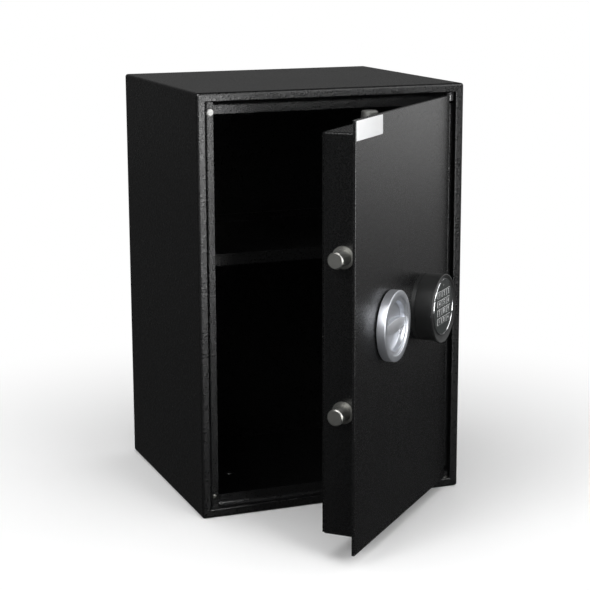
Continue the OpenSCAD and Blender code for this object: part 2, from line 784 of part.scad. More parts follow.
module turn_knob() {
    color(satin_alloy) about_pivot() translate([knob_x, knob_y1, mid_z]) rotate([90, 0, 0]) difference() {
        union() {
            rotate_extrude() polygon([
                [0, 0], [knob_r - 1.5, 0], [knob_r, 1.5], [knob_r, knob_t - 1.2],
                [knob_r - 0.4, knob_t - 0.4], [knob_r - 1.2, knob_t], [dish_r + 0.5, knob_t],
                [dish_r, knob_t - 0.5], [dish_r - 0.3, knob_t - ledge_d], [pocket_r, knob_t - ledge_d],
                [pocket_r - 1, knob_t - dish_d], [0, knob_t - dish_d]]);
            translate([0, 0, knob_t - dish_d - 0.5])
                linear_extrude(dish_d + 0.5 - bar_recess) grip_outline();
        }
        translate([0, 0, -1]) cylinder(r = spindle_r, h = 8);
        translate([0, 0, -1]) cylinder(r = spindle_r + 8, h = 2);
    }
}

module spindle() {
    color(zinc) about_pivot() y_rod(spindle_r, knob_y1 - 7, cam_y[1] + 3.5, knob_x, mid_z);
}

module cam_pin(p, y1) {
    y_rod(cam_pin_r, cam_y[0], y1, knob_x + p[0], mid_z + p[1]);
}

// The cam carries three riveted pins: one drives the carriage and the others drive the two rods
module cam_disc() {
    color(zinc) about_pivot() {
        difference() {
            y_rod(cam_r, cam_y[0], cam_y[1], knob_x, mid_z);
            y_rod(spindle_r, cam_y[0] - 1, cam_y[1] + 1, knob_x, mid_z);
        }
        cam_pin(carriage_pin, carriage_y[1] + 1.5);
        cam_pin(top_rod_pin, rod_y[1] + 1);
        cam_pin(bottom_rod_pin, rod_y[1] + 1);
    }
}

module spindle_clip() {
    color(zinc) about_pivot() difference() {
        y_rod(spindle_r + 2.5, cam_y[1], cam_y[1] + 1, knob_x, mid_z);
        y_rod(spindle_r, cam_y[1] - 1, cam_y[1] + 2, knob_x, mid_z);
        block(knob_x - 2, knob_x + 2, cam_y[1] - 1, cam_y[1] + 2,
              mid_z - spindle_r - 4, mid_z - spindle_r + 1);
    }
}

// Bolt carriage, bolts and rods

// The slot in the carriage for its cam pin is upright, and as wide as the pin and its play
module carriage_slot() {
    x = knob_x + carriage_pin[0];
    half = cam_pin_r + carriage_play;
    z0 = mid_z + carriage_pin[1];
    z1 = mid_z + carriage_pin_radius;
    y = [carriage_y[0] - 1, carriage_y[1] + 1];
    block(x - half, x + half, y[0], y[1], z0, z1);
    for (z = [z0, z1]) y_rod(half, y[0], y[1], x, z);
}

module ear_slot(z) {
    y = [carriage_y[0] - 1, carriage_y[1] + 1];
    block(ear_stud_x - side_travel, ear_stud_x, y[0], y[1], z - slot_r, z + slot_r);
    for (x = [ear_stud_x - side_travel, ear_stud_x]) y_rod(slot_r, y[0], y[1], x, z);
}

// The notch for the lock bolt: a stop on its right, and a ramp that lifts it as the carriage draws back
module lock_notch() {
    x0 = lock_x - lock_bolt_w/2 - notch_gap;
    x1 = lock_x + lock_bolt_w/2 + notch_gap;
    translate([0, carriage_y[1] + 1, 0]) rotate([90, 0, 0]) linear_extrude(carriage_y[1] - carriage_y[0] + 2)
        polygon([[x0, notch_z], [x1, notch_z], [x1, arm_z[1] + 1], [x0 - side_travel, arm_z[1] + 1],
                 [x0 - side_travel, arm_z[1]]]);
}

module bolt_carriage() {
    slot_x = knob_x + carriage_pin[0];
    color(zinc) about_pivot() difference() {
        union() {
            block(bar_x0, bar_x0 + bar_w, carriage_y[0], carriage_y[1],
                  side_bolt_z[0] + lug_half_h - 1, side_bolt_z[1] - lug_half_h + 1);
            for (z = side_bolt_z)
                block(bar_x0, bar_x0 + ear_t, bolt_y - bolt_r, bolt_y + bolt_r,
                      z - lug_half_h, z + lug_half_h);
            block(bar_x0, arm_x1, carriage_y[0], carriage_y[1], arm_z[0], arm_z[1]);
            block(slot_x - cheek_half_w, slot_x + cheek_half_w, carriage_y[0], carriage_y[1],
                  mid_z + 3, arm_z[0] + 1);
            for (z = ear_z)
                block(bar_x0 - 6, ear_stud_x + 9, carriage_y[0], carriage_y[1],
                      z - ear_half_h, z + ear_half_h);
        }
        carriage_slot();
        for (z = ear_z) ear_slot(z);
        lock_notch();
        for (z = side_bolt_z) x_rod(rivet_r, bar_x0 - 1, bar_x0 + ear_t + 1, bolt_y, z);
    }
}

module bolt_tip(l) {
    chamfer = 1.5;
    rotate_extrude() polygon([
        [0, 0], [bolt_r - chamfer, 0], [bolt_r, chamfer], [bolt_r, l], [0, l]]);
}

// Each side bolt has a stud that is riveted over behind its lug on the carriage
module side_bolts() {
    color(chrome) about_pivot() for (z = side_bolt_z) {
        translate([side_bolt_end, bolt_y, z]) rotate([0, 90, 0]) bolt_tip(bar_x0 - side_bolt_end);
        x_rod(rivet_r, bar_x0 - 1, bar_x0 + ear_t + 1, bolt_y, z);
        x_rod(rivet_r + 2, bar_x0 + ear_t, bar_x0 + ear_t + 2.5, bolt_y, z);
    }
}

// A vertical bolt at the foot of the door, with a slot at its back for the tongue of its rod
module end_bolt() {
    z0 = plate_z0 - end_bolt_reach;
    difference() {
        translate([end_bolt_x, bolt_y, z0]) bolt_tip(end_bolt_l);
        block(end_bolt_x - tongue_w/2 - 0.1, end_bolt_x + tongue_w/2 + 0.1,
              rod_y[0] - 0.1, bolt_y + bolt_r + 1, z0 + end_bolt_l - tongue_l, z0 + end_bolt_l + 1);
    }
}

module bottom_bolt() {
    color(chrome) about_pivot() end_bolt();
}

module top_bolt() {
    color(chrome) about_pivot() translate([0, 0, cabinet_h]) mirror([0, 0, 1]) end_bolt();
}

module rod_tongue() {
    z1 = plate_z0 - end_bolt_reach + end_bolt_l;
    block(end_bolt_x - tongue_w/2, end_bolt_x + tongue_w/2, rod_y[0], rod_y[1], z1 - tongue_l + 0.5, z1 + 2);
}

module stud_slot(z, rise) {
    y = [rod_y[0] - 1, rod_y[1] + 1];
    block(end_bolt_x - slot_r, end_bolt_x + slot_r, y[0], y[1], min(z, z + rise), max(z, z + rise));
    for (s = [z, z + rise]) y_rod(slot_r, y[0], y[1], end_bolt_x, s);
}

// The slot in a rod for its cam pin lies flat, and as high as the pin and its play
module rod_slot(p) {
    half = cam_pin_r + rod_play;
    side = p[0] < 0 ? -1 : 1;
    x = [knob_x + p[0], knob_x + side*rod_pin_radius];
    y = [rod_y[0] - 1, rod_y[1] + 1];
    block(min(x), max(x), y[0], y[1], mid_z + p[1] - half, mid_z + p[1] + half);
    for (c = x) y_rod(half, y[0], y[1], c, mid_z + p[1]);
}

module bottom_rod() {
    z0 = plate_z0 - end_bolt_reach + end_bolt_l;
    color(zinc) about_pivot() difference() {
        union() {
            rod_tongue();
            block(end_bolt_x - rod_w/2, end_bolt_x + rod_w/2, rod_y[0], rod_y[1], z0 + 0.5,
                  mid_z + bottom_rod_pin[1] + rod_foot);
        }
        stud_slot(rod_stud_z[0], -rod_travel);
        rod_slot(bottom_rod_pin);
    }
}

// The top rod steps sideways above the cam, so that it drives the other side of it
module top_rod() {
    z1 = plate_z1 + end_bolt_reach - end_bolt_l;
    step_z = mid_z + 40;
    color(zinc) about_pivot() difference() {
        union() {
            translate([0, 0, cabinet_h]) mirror([0, 0, 1]) rod_tongue();
            block(end_bolt_x - rod_w/2, end_bolt_x + rod_w/2, rod_y[0], rod_y[1], step_z, z1 - 0.5);
            block(end_bolt_x - rod_w/2, top_foot_x + rod_w/2, rod_y[0], rod_y[1], step_z, step_z + 16);
            block(top_foot_x - rod_w/2, top_foot_x + rod_w/2, rod_y[0], rod_y[1],
                  mid_z + top_rod_pin[1] - rod_foot, step_z + 1);
        }
        stud_slot(rod_stud_z[1], rod_travel);
        rod_slot(top_rod_pin);
    }
}

module lock_bolt() {
    color(zinc) about_pivot() block(lock_x - lock_bolt_w/2, lock_x + lock_bolt_w/2,
        bolt_y - lock_bolt_t/2, bolt_y + lock_bolt_t/2, lock_rest_z, lock_rest_z + lock_bolt_l);
}

cabinet_shell();
back_panel();
frame_left();
frame_right();
frame_top();
frame_bottom();
hinge_sockets();
shelf();
shelf_supports();
door_buffer();
jamb_screw();
door_plate();
door_pan();
rear_cover();
cover_screws();
door_label();
hinge_brackets();
hinge_pins();
hinge_washers();
dog_bar();
bolt_bushes();
spindle_bush();
hard_plate();
lock_body();
lock_cover();
lock_screws();
lock_cable();
guide_studs();
keypad_base();
keypad_screws();
keypad_battery();
keypad_board();
key_mat();
keypad_housing();
keypad_face();
keypad_ring();
led_lens();
turn_knob();
spindle();
cam_disc();
spindle_clip();
bolt_carriage();
side_bolts();
top_bolt();
top_rod();
bottom_bolt();
bottom_rod();
lock_bolt();
for (k = [1:12]) key(k);
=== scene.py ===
"""Finishes, knob, keypad, bolts and stage for the electronic safe. Metres, with the origin under the middle of the
cabinet, +Z up and the door opening towards -Y."""

import json
import math

import bmesh
import bpy
from mathutils import Matrix, Vector


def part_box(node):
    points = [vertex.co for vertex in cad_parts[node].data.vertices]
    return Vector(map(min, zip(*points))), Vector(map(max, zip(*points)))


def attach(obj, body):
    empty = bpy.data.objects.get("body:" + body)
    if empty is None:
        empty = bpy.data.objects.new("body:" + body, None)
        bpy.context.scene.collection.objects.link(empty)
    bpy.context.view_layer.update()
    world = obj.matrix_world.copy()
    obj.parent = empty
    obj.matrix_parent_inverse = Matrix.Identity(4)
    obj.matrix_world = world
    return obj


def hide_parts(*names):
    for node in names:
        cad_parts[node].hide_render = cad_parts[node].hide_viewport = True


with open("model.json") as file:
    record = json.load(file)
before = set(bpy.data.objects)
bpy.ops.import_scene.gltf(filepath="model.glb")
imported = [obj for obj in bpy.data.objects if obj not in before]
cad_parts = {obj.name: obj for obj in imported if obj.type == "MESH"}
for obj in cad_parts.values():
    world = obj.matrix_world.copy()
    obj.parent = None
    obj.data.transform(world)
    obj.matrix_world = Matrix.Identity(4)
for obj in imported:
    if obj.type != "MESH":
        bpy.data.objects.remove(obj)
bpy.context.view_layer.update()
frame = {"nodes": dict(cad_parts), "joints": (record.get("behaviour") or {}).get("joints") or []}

bl_info = {
    "name": "Electronic safe",
    "version": (1, 0, 0),
    "blender": (4, 5, 0),
    "location": "View3D > Sidebar > Safe",
    "description": "Dresses the frame of an electronic safe with its finishes, knob, keypad and stage",
    "category": "Object",
}

JOINTS = {joint["name"]: joint for joint in frame["joints"]}
HINGE = Vector(JOINTS["door_hinge"]["pos_m"])
DOOR_OPEN = -math.radians(JOINTS["door_hinge"]["range_deg"][0])

# Places on the shut door: its middle height, the front, top and free edge of its plate, the middles of the knob and
# the keypad, and the axes of the bolts
MIDDLE_Z = 0.300
PLATE_FRONT = -0.1725
PLATE_TOP_Z = 0.5835
PLATE_FREE_X = -0.183
KNOB_X = -0.0665
KEYPAD_X = 0.0635
BOLT_Y = -0.1485
END_BOLT_X = -0.078

# The front of the stop lip
LIP_FRONT = -0.164

# Points within MERGE of each other are one point, and NEAR is the slack with which edges and points are picked
MERGE = 1e-6
NEAR = 0.0001

# Steps round a turned shape as large as the knob
ROUND_STEPS = 160

# The lock cable: its radius in metres, and its route in millimetres on the shut door, from the circuit board to the
# side of the lock
CABLE_RADIUS = 0.002
CABLE_ROUTE = [(63.5, -194.7, 300), (63.5, -184, 300), (63.5, -176, 300), (63.5, -168, 300), (63, -162.5, 302),
               (62, -159, 307), (60.5, -157.5, 314), (58, -156.5, 324), (56, -156, 336), (54, -155, 349),
               (50, -153.5, 361), (44.5, -152, 371), (38, -151, 377.5), (33.5, -151, 379.5), (30.5, -151, 380)]


def shut_to_rest():
    """The turn about the hinge that takes the shut door to where it stands at rest."""
    return Matrix.Translation(HINGE) @ Matrix.Rotation(DOOR_OPEN, 4, "Z") @ Matrix.Translation(-HINGE)


def on_plate(x, z, out=0.0):
    """A place on the front of the door: x across the door, y up and z out of the plate."""
    upright = Matrix.Rotation(math.pi / 2, 4, "X")
    return shut_to_rest() @ Matrix.Translation((x, PLATE_FRONT - out, z)) @ upright


def length(name, description, default):
    """A setting in metres."""
    return bpy.props.FloatProperty(name=name, description=description, default=default, unit="LENGTH")


def tint(name, description, default):
    """A setting that is a colour."""
    return bpy.props.FloatVectorProperty(name=name, description=description, subtype="COLOR", default=default)


class CoatSettings(bpy.types.PropertyGroup):
    """The textured black powder coat."""

    colour: tint("Colour", "Colour of the black coat", (0.0026, 0.0027, 0.0029))
    roughness: bpy.props.FloatProperty(
        name="Roughness", description="Roughness of the coat between its grains", default=0.32, min=0, max=1)
    grain: length("Grain", "Distance between the grains of the coat", 0.003)
    relief: length("Relief", "Height of the grains of the coat", 0.0003)


class KnobSettings(bpy.types.PropertyGroup):
    """The turn knob: a dish in a wide rim, with a ledge and a grip bar between two pockets."""

    radius: length("Radius", "Outside radius of the knob", 0.048)
    thickness: length("Thickness", "Thickness of the knob", 0.013)
    clearance: length("Clearance", "Gap between the plate and the knob", 0.001)
    dish_radius: length("Dish radius", "Radius of the dish", 0.0385)
    ledge_depth: length("Ledge depth", "Depth of the ledge round the pockets", 0.0023)
    pocket_radius: length("Pocket radius", "Radius of the two pockets", 0.0335)
    dish_depth: length("Dish depth", "Depth of the dish", 0.0095)
    grip_half: length("Grip", "Half of the height of the grip at its middle", 0.009)
    grip_end_half: length("Grip end", "Half of the height of the grip at its ends", 0.0055)
    grip_recess: length("Grip recess", "Depth of the grip's face below the rim", 0.0031)
    colour: tint("Colour", "Colour of the alloy", (0.60, 0.62, 0.66))
    grip_colour: tint("Grip colour", "Colour of the buffed face of the grip", (0.84, 0.86, 0.90))


class KeypadSettings(bpy.types.PropertyGroup):
    """The round keypad and its keys."""

    radius: length("Radius", "Radius of the base and the housing", 0.047)
    height: length("Height", "Height in front of the plate", 0.0328)
    base_height: length("Base height", "Height of the base cup", 0.0055)
    joint: bpy.props.FloatVectorProperty(
        name="Joint", description="Width and depth of the groove at the base", size=2, default=(0.0012, 0.0008),
        unit="LENGTH")
    wall: length("Wall", "Thickness of the base and housing walls", 0.0035)
    face_radius: length("Face radius", "Radius of the face plate", 0.038)
    face_rise: length("Face rise", "Height of the face over the middle", 0.0014)
    face_sink: length("Face sink", "Depth of the face behind the rim", 0.0011)
    rim_radius: length("Rim radius", "Radius of the flared rim", 0.0485)
    rim_drop: length("Rim drop", "Distance of the rim below the middle", 0.0013)
    face_thickness: length("Face thickness", "Thickness of the face plate", 0.003)
    ring_width: length("Ring width", "Width of the ring round the face", 0.0018)
    key_size: bpy.props.FloatVectorProperty(
        name="Key size", description="Width and height of a key", size=2, default=(0.016, 0.0095), unit="LENGTH")
    key_pitch: bpy.props.FloatVectorProperty(
        name="Key pitch", description="Distances between the keys", size=2, default=(0.018, 0.0125), unit="LENGTH")
    key_top: length("Top row", "Height of the top row over the middle", 0.0212)
    key_proud: length("Key height", "Height of the keys over the face", 0.0008)
    digit_height: length("Digit height", "Height of the printed digits", 0.0062)
    lens_height: length("Lens place", "Height of the lens over the middle", 0.0315)
    lens_radius: length("Lens radius", "Radius of the indicator lens", 0.002)
    plastic: tint("Plastic", "Colour of the black plastic", (0.012, 0.0125, 0.0125))
    face_colour: tint("Face", "Colour of the face plate", (0.019, 0.023, 0.022))


class StageSettings(bpy.types.PropertyGroup):
    """The floor, the cards, the lamps and the camera."""

    camera: bpy.props.FloatVectorProperty(
        name="Camera", description="Where the camera stands", subtype="TRANSLATION",
        default=(-0.882945, -2.290655, 0.801803))
    camera_turn: bpy.props.FloatVectorProperty(
        name="Camera turn", description="Azimuth, elevation and roll of the camera, in degrees",
        default=(-21.26724, 12.15597, -0.22179))
    lens: bpy.props.FloatProperty(
        name="Lens", description="Focal length for a sensor 36 mm wide, in millimetres", default=101.0424)
    floor_white: bpy.props.FloatProperty(
        name="Floor", description="Whiteness of the floor", default=0.93, min=0, max=1)
    card_place: bpy.props.FloatVectorProperty(
        name="Front card", description="Middle of the bright card in front", subtype="TRANSLATION",
        default=(0.22, -1.6, 0.41))
    card_size: bpy.props.FloatVectorProperty(
        name="Card size", description="Width and height of the bright card", size=2, default=(0.56, 0.66),
        unit="LENGTH")
    card_level: bpy.props.FloatProperty(
        name="Card level", description="Brightness of the bright card in reflections", default=13.5, min=0)
    left_card: bpy.props.FloatProperty(
        name="Left card", description="Brightness of the card at the upper left in reflections", default=7.5, min=0)
    high_card: bpy.props.FloatProperty(
        name="High card", description="Brightness of the card at the upper right in reflections", default=5.0, min=0)
    dim_level: bpy.props.FloatProperty(
        name="Dim cards", description="Brightness of the dim cards all round in reflections", default=0.04, min=0)
    fill: bpy.props.FloatProperty(
        name="Fill", description="Strength of the soft light from all sides", default=0.42, min=0)
    key_power: bpy.props.FloatProperty(
        name="Front lamp", description="Power of the soft lamp at the front right", default=12.0, min=0)
    top_power: bpy.props.FloatProperty(
        name="Top lamp", description="Power of the soft lamp overhead", default=34.0, min=0)
    left_power: bpy.props.FloatProperty(
        name="Left lamp", description="Power of the soft lamp at the upper left", default=30.0, min=0)


class Term:
    """A value in a finish's nodes. An operator on it adds the Math node that it stands for."""

    def __init__(self, nodes, socket):
        self.nodes = nodes
        self.socket = socket

    def math(self, operation, first, second):
        return self.nodes.add("ShaderNodeMath", {"operation": operation}, {0: first, 1: second})

    def __add__(self, other):
        return self.math("ADD", self, other)

    def __sub__(self, other):
        return self.math("SUBTRACT", self, other)

    def __rsub__(self, other):
        return self.math("SUBTRACT", other, self)

    def __mul__(self, other):
        return self.math("MULTIPLY", self, other)

    def __lt__(self, other):
        return self.math("LESS_THAN", self, other)

    __radd__ = __add__
    __rmul__ = __mul__


class Nodes:
    """The nodes of a finish or of the world."""

    def __init__(self, tree):
        self.tree = tree

    def add(self, kind, settings=None, sockets=None, out=0):
        """Adds a node of that kind, with its settings and then its sockets, and gives one of its outputs."""
        node = self.tree.nodes.new(kind)
        for name, value in (settings or {}).items():
            setattr(node, name, value)
        for name, value in (sockets or {}).items():
            self.put(node.inputs[name], value)
        return Term(self, node.outputs[out])

    def put(self, socket, value):
        if isinstance(value, Term):
            self.tree.links.new(value.socket, socket)
        else:
            socket.default_value = value

    def show(self, output, shader):
        """Links a shader to the tree's output node."""
        self.put(self.tree.nodes[output].inputs["Surface"], shader)

    def seen(self):
        """1 for rays from the camera and from shiny and clear surfaces."""
        camera, glossy, clear = (self.add("ShaderNodeLightPath", out=f"Is {kind} Ray")
                                 for kind in ("Camera", "Glossy", "Transmission"))
        return camera + glossy + clear


class Finish(Nodes):
    """A material that is put together from nodes on the Object coordinates of its piece."""

    def __init__(self, name):
        self.material = bpy.data.materials.new(name)
        self.material.use_nodes = True
        super().__init__(self.material.node_tree)
        self.shader = self.tree.nodes["Principled BSDF"]

    def place(self, frame_of=None):
        """The Object coordinates, or the coordinates in a piece's own turned and shifted frame."""
        point = self.add("ShaderNodeTexCoord", out="Object")
        if frame_of is None:
            return point
        where = {"Vector": point, "Location": frame_of.to_translation(), "Rotation": frame_of.to_euler()}
        return self.add("ShaderNodeMapping", {"vector_type": "TEXTURE"}, where)

    def stretched(self, point, scale):
        return self.add("ShaderNodeMapping", {"vector_type": "POINT"}, {"Vector": point, "Scale": scale})

    def noise(self, point, size, detail=2.0, roughness=0.5):
        """Smooth noise from 0 to 1, whose lumps are about as big as size."""
        sockets = {"Vector": point, "Scale": 1 / size, "Detail": detail, "Roughness": roughness}
        return self.add("ShaderNodeTexNoise", {}, sockets, "Fac")

    def lines(self, distance, size, detail=2.0):
        """Noise that changes only with distance: the marks of a turning tool."""
        sockets = {"W": distance, "Scale": 1 / size, "Detail": detail}
        return self.add("ShaderNodeTexNoise", {"noise_dimensions": "1D"}, sockets, "Fac")

    def cells(self, point, size):
        """Distance from the middle of the nearest of many cells that are about as big as size."""
        return self.add("ShaderNodeTexVoronoi", {}, {"Vector": point, "Scale": 1 / size}, "Distance")

    def axes(self, point):
        return [self.add("ShaderNodeSeparateXYZ", {}, {"Vector": point}, axis) for axis in "XYZ"]

    def from_axis(self, point):
        """Distance from the z axis of a piece's own frame."""
        flat = self.add("ShaderNodeVectorMath", {"operation": "MULTIPLY"}, {0: point, 1: (1, 1, 0)})
        return self.add("ShaderNodeVectorMath", {"operation": "LENGTH"}, {0: flat}, "Value")

    def ramp(self, value, start, end):
        """0 below start and 1 above end, with a soft change between them."""
        sockets = {"Value": value, "From Min": start, "From Max": end}
        return self.add("ShaderNodeMapRange", {"interpolation_type": "SMOOTHSTEP"}, sockets)

    def blend(self, amount, first, second):
        """A colour between two colours."""
        return self.add("ShaderNodeMix", {"data_type": "RGBA"}, {0: amount, 6: first, 7: second}, 2)

    def bump(self, height, distance, strength=1.0):
        return self.add("ShaderNodeBump", {}, {"Height": height, "Distance": distance, "Strength": strength})

    def surface(self, **sockets):
        for name, value in sockets.items():
            self.put(self.shader.inputs[name.replace("_", " ")], value)
        return self.material


def opaque(colour, times=1.0):
    """A colour made darker or paler, with its alpha of 1."""
    return (*(min(part * times, 1.0) for part in colour), 1.0)


def powder_coat(name, settings, grain=1.0, relief=1.0, roughness=0.0, gloss=0.5):
    """Black powder coat: low rounded grains of two sizes, that are a little smoother on their tops. grain and relief
    are shares of the settings, and roughness is added to theirs."""
    finish = Finish(name)
    point = finish.place()
    lumps = finish.ramp(finish.noise(point, settings.grain * grain, 2.0, 0.55), 0.25, 0.75)
    fine = finish.noise(point, settings.grain * grain * 0.35, 1.0)
    broad = finish.noise(point, 0.12, 2.0)
    height = lumps * 0.75 + fine * 0.25
    colour = finish.blend(broad, opaque(settings.colour, 0.86), opaque(settings.colour, 1.14))
    return finish.surface(
        Base_Color=colour,
        Roughness=settings.roughness + roughness + (0.5 - lumps) * 0.14 + (broad - 0.5) * 0.05,
        Specular_IOR_Level=gloss,
        Normal=finish.bump(height, settings.relief * relief, 0.9))


def plated_steel(name, colour, roughness=0.34, upper=None):
    """Zinc-plated steel: a cloudy, faintly spangled sheen over rolled sheet. Above the middle of the safe its colour
    can turn to a darker one, which is painted shade."""
    finish = Finish(name)
    point = finish.place()
    clouds = finish.noise(point, 0.018, 3.0, 0.6)
    rolled = finish.noise(finish.stretched(point, (1.0, 1.0, 0.06)), 0.0006, 2.0)
    tone = finish.blend(clouds, opaque(colour, 0.82), opaque(colour, 1.1))
    # Painted shade: above the middle of the safe the colour turns to the darker one
    if upper:
        tone = finish.blend(finish.ramp(finish.axes(point)[2], MIDDLE_Z, MIDDLE_Z + 0.02), tone, opaque(upper))
    return finish.surface(
        Base_Color=tone,
        Metallic=1.0,
        Roughness=roughness + (clouds - 0.5) * 0.22,
        Normal=finish.bump(rolled, 0.00001, 0.6))


def turned_steel(name, colour, place, roughness, along_axis=True):
    """Bright metal with the fine marks of a turning tool: round its sides, or in circles on its face."""
    finish = Finish(name)
    point = finish.place(place)
    distance = finish.axes(point)[2] if along_axis else finish.from_axis(point)
    marks = finish.lines(distance, 0.00022, 3.0)
    clouds = finish.noise(point, 0.009, 2.0)
    tone = finish.blend(clouds, opaque(colour, 0.9), opaque(colour, 1.06))
    return finish.surface(
        Base_Color=tone,
        Metallic=1.0,
        Roughness=roughness + (marks - 0.5) * 0.12 + (clouds - 0.5) * 0.06,
        Normal=finish.bump(marks, 0.000012, 0.7))


def satin_alloy(name, colour, place):
    """Cast light alloy under a silver lacquer: fine even grain, and a little darker and rougher towards the back of
    the knob, so also on the floors of its pockets.
    """
    finish = Finish(name)
    point = finish.place(place)
    grain = finish.noise(point, 0.00045, 2.0, 0.6)
    clouds = finish.noise(point, 0.014, 2.0)
    # 0 at the back of the knob and 1 at its front: the colour turns paler and the alloy smoother towards the front
    towards_front = finish.ramp(finish.axes(point)[2], 0.002, 0.012)
    tone = finish.blend(towards_front * 0.6 + clouds * 0.4, opaque(colour, 0.86), opaque(colour, 1.05))
    return finish.surface(
        Base_Color=tone,
        Metallic=0.9,
        Roughness=0.42 - towards_front * 0.06 + (grain - 0.5) * 0.12,
        Coat_Weight=0.25,
        Normal=finish.bump(grain, 0.00002, 0.6))


def moulded_plastic(name, colour, roughness=0.4, grain=0.00035, relief=0.00001, spread=0.12):
    """Moulded plastic with the fine even grain of its mould and faint cloudy sheen."""
    finish = Finish(name)
    point = finish.place()
    pits = finish.noise(point, grain, 2.0, 0.6)
    clouds = finish.noise(point, 0.02, 2.0)
    tone = finish.blend(clouds, opaque(colour, 1.0 - spread), opaque(colour, 1.0 + spread))
    return finish.surface(
        Base_Color=tone,
        Roughness=roughness + (pits - 0.5) * 0.12 + (clouds - 0.5) * 0.06,
        Normal=finish.bump(pits, relief, 0.7))


def polished_ring(name, place):
    """A dark polished ring with a hair of turning marks."""
    finish = Finish(name)
    point = finish.place(place)
    marks = finish.lines(finish.from_axis(point), 0.00012, 2.0)
    clouds = finish.noise(point, 0.01, 2.0)
    return finish.surface(
        Base_Color=finish.blend(clouds, (0.56, 0.57, 0.58, 1.0), (0.70, 0.71, 0.72, 1.0)),
        Metallic=1.0,
        Roughness=0.12 + (marks - 0.5) * 0.06,
        Normal=finish.bump(marks, 0.000004, 0.5))


def smoked_lens(name):
    """A smoked lens: dark plastic under a clear gloss."""
    finish = Finish(name)
    clouds = finish.noise(finish.place(), 0.0015, 2.0)
    return finish.surface(
        Base_Color=finish.blend(clouds, (0.035, 0.042, 0.038, 1.0), (0.06, 0.068, 0.06, 1.0)),
        Roughness=0.12 + clouds * 0.04,
        Coat_Weight=0.8,
        Coat_Roughness=0.04)


def label_film(name):
    """White plastic film with a faint orange peel."""
    finish = Finish(name)
    point = finish.place()
    peel = finish.noise(point, 0.0012, 2.0)
    broad = finish.noise(point, 0.03, 2.0)
    return finish.surface(
        Base_Color=finish.blend(broad, (0.72, 0.73, 0.74, 1.0), (0.80, 0.80, 0.80, 1.0)),
        Roughness=0.34 + (peel - 0.5) * 0.1,
        Normal=finish.bump(peel, 0.00001, 0.5))


def cast_case(name, colour):
    """Pressure-cast zinc: grey, grainy and blotched."""
    finish = Finish(name)
    point = finish.place()
    grain = finish.noise(point, 0.0006, 3.0, 0.65)
    blotches = finish.noise(point, 0.012, 3.0, 0.6)
    return finish.surface(
        Base_Color=finish.blend(blotches, opaque(colour, 0.75), opaque(colour, 1.15)),
        Metallic=0.85,
        Roughness=0.48 + (blotches - 0.5) * 0.2,
        Normal=finish.bump(grain, 0.00005, 0.6))


def circuit_laminate(name):
    """Green solder lacquer over a fine weave, with copper tracks that shine through."""
    finish = Finish(name)
    place = on_plate(KEYPAD_X, MIDDLE_Z)
    point = finish.place(place)
    across, up, _ = finish.axes(point)
    weave = finish.lines(across, 0.0004, 0.0) + finish.lines(up, 0.0004, 0.0)
    tracks = finish.cells(point, 0.004) < 0.28
    return finish.surface(
        Base_Color=finish.blend(tracks, (0.012, 0.085, 0.035, 1.0), (0.03, 0.16, 0.06, 1.0)),
        Roughness=0.3 + (weave - 1.0) * 0.08,
        Normal=finish.bump(weave + tracks * 0.6, 0.00003, 0.6))


def linked(bm, name, finishes):
    """Makes the object of a bmesh, with its finishes, and frees the bmesh."""
    mesh = bpy.data.meshes.new(name)
    bm.to_mesh(mesh)
    bm.free()
    for finish in finishes:
        mesh.materials.append(finish)
    piece = bpy.data.objects.new(name, mesh)
    bpy.context.scene.collection.objects.link(piece)
    return piece


def made(bm, name, body, place, finishes, nodes=(), smooth=0.7):
    """A piece with its place in its mesh, that rides on a body, takes its finishes and stands for its nodes. Edges
    sharper than smooth stay sharp."""
    bmesh.ops.remove_doubles(bm, verts=bm.verts, dist=MERGE)
    bmesh.ops.recalc_face_normals(bm, faces=bm.faces)
    bmesh.ops.transform(bm, matrix=place, verts=bm.verts)
    piece = linked(bm, name, finishes)
    piece.data.shade_smooth()
    piece.data.set_sharp_from_angle(angle=smooth)
    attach(piece, body)
    if nodes:
        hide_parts(*nodes)
    return piece


def turned(profile, steps, closed=False):
    """A bmesh of the shape that a line of (radius, height) points sweeps round the z axis. A closed line makes a
    ring."""
    bm = bmesh.new()
    points = [bm.verts.new((radius, 0.0, height)) for radius, height in profile]
    pairs = list(zip(points, points[1:]))
    if closed:
        pairs.append((points[-1], points[0]))
    edges = [bm.edges.new(pair) for pair in pairs]
    bmesh.ops.spin(bm, geom=points + edges, cent=(0, 0, 0), axis=(0, 0, 1), dvec=(0, 0, 0),
                   angle=math.tau, steps=steps, use_merge=True, use_duplicate=False)
    bmesh.ops.remove_doubles(bm, verts=bm.verts, dist=MERGE)
    bmesh.ops.recalc_face_normals(bm, faces=bm.faces)
    return bm


def bevelled(bm, edges, offset, segments):
    bmesh.ops.bevel(bm, geom=edges, offset=offset, offset_type="OFFSET", segments=segments, profile=0.5,
                    affect="EDGES", clamp_overlap=True, material=-1)


def round_edges(bm, offset, segments, angle, choose=None):
    """Bevels the edges that are sharper than angle, or those of them that choose picks."""
    edges = [edge for edge in bm.edges if len(edge.link_faces) == 2 and edge.calc_face_angle(0.0) > angle]
    if choose:
        edges = [edge for edge in edges if choose(edge)]
    bevelled(bm, edges, offset, segments)


def slab(width, height, low, high, corner, segments=6):
    """A bmesh of a block from z = low to z = high, whose upright edges are rounded."""
    bm = bmesh.new()
    bmesh.ops.create_cube(bm, size=1.0)
    bmesh.ops.scale(bm, vec=(width, height, high - low), verts=bm.verts)
    bmesh.ops.translate(bm, vec=(0, 0, (low + high) / 2), verts=bm.verts)
    upright = [e for e in bm.edges if abs(e.verts[0].co.z - e.verts[1].co.z) > (high - low) / 2]
    bevelled(bm, upright, corner, segments)
    return bm


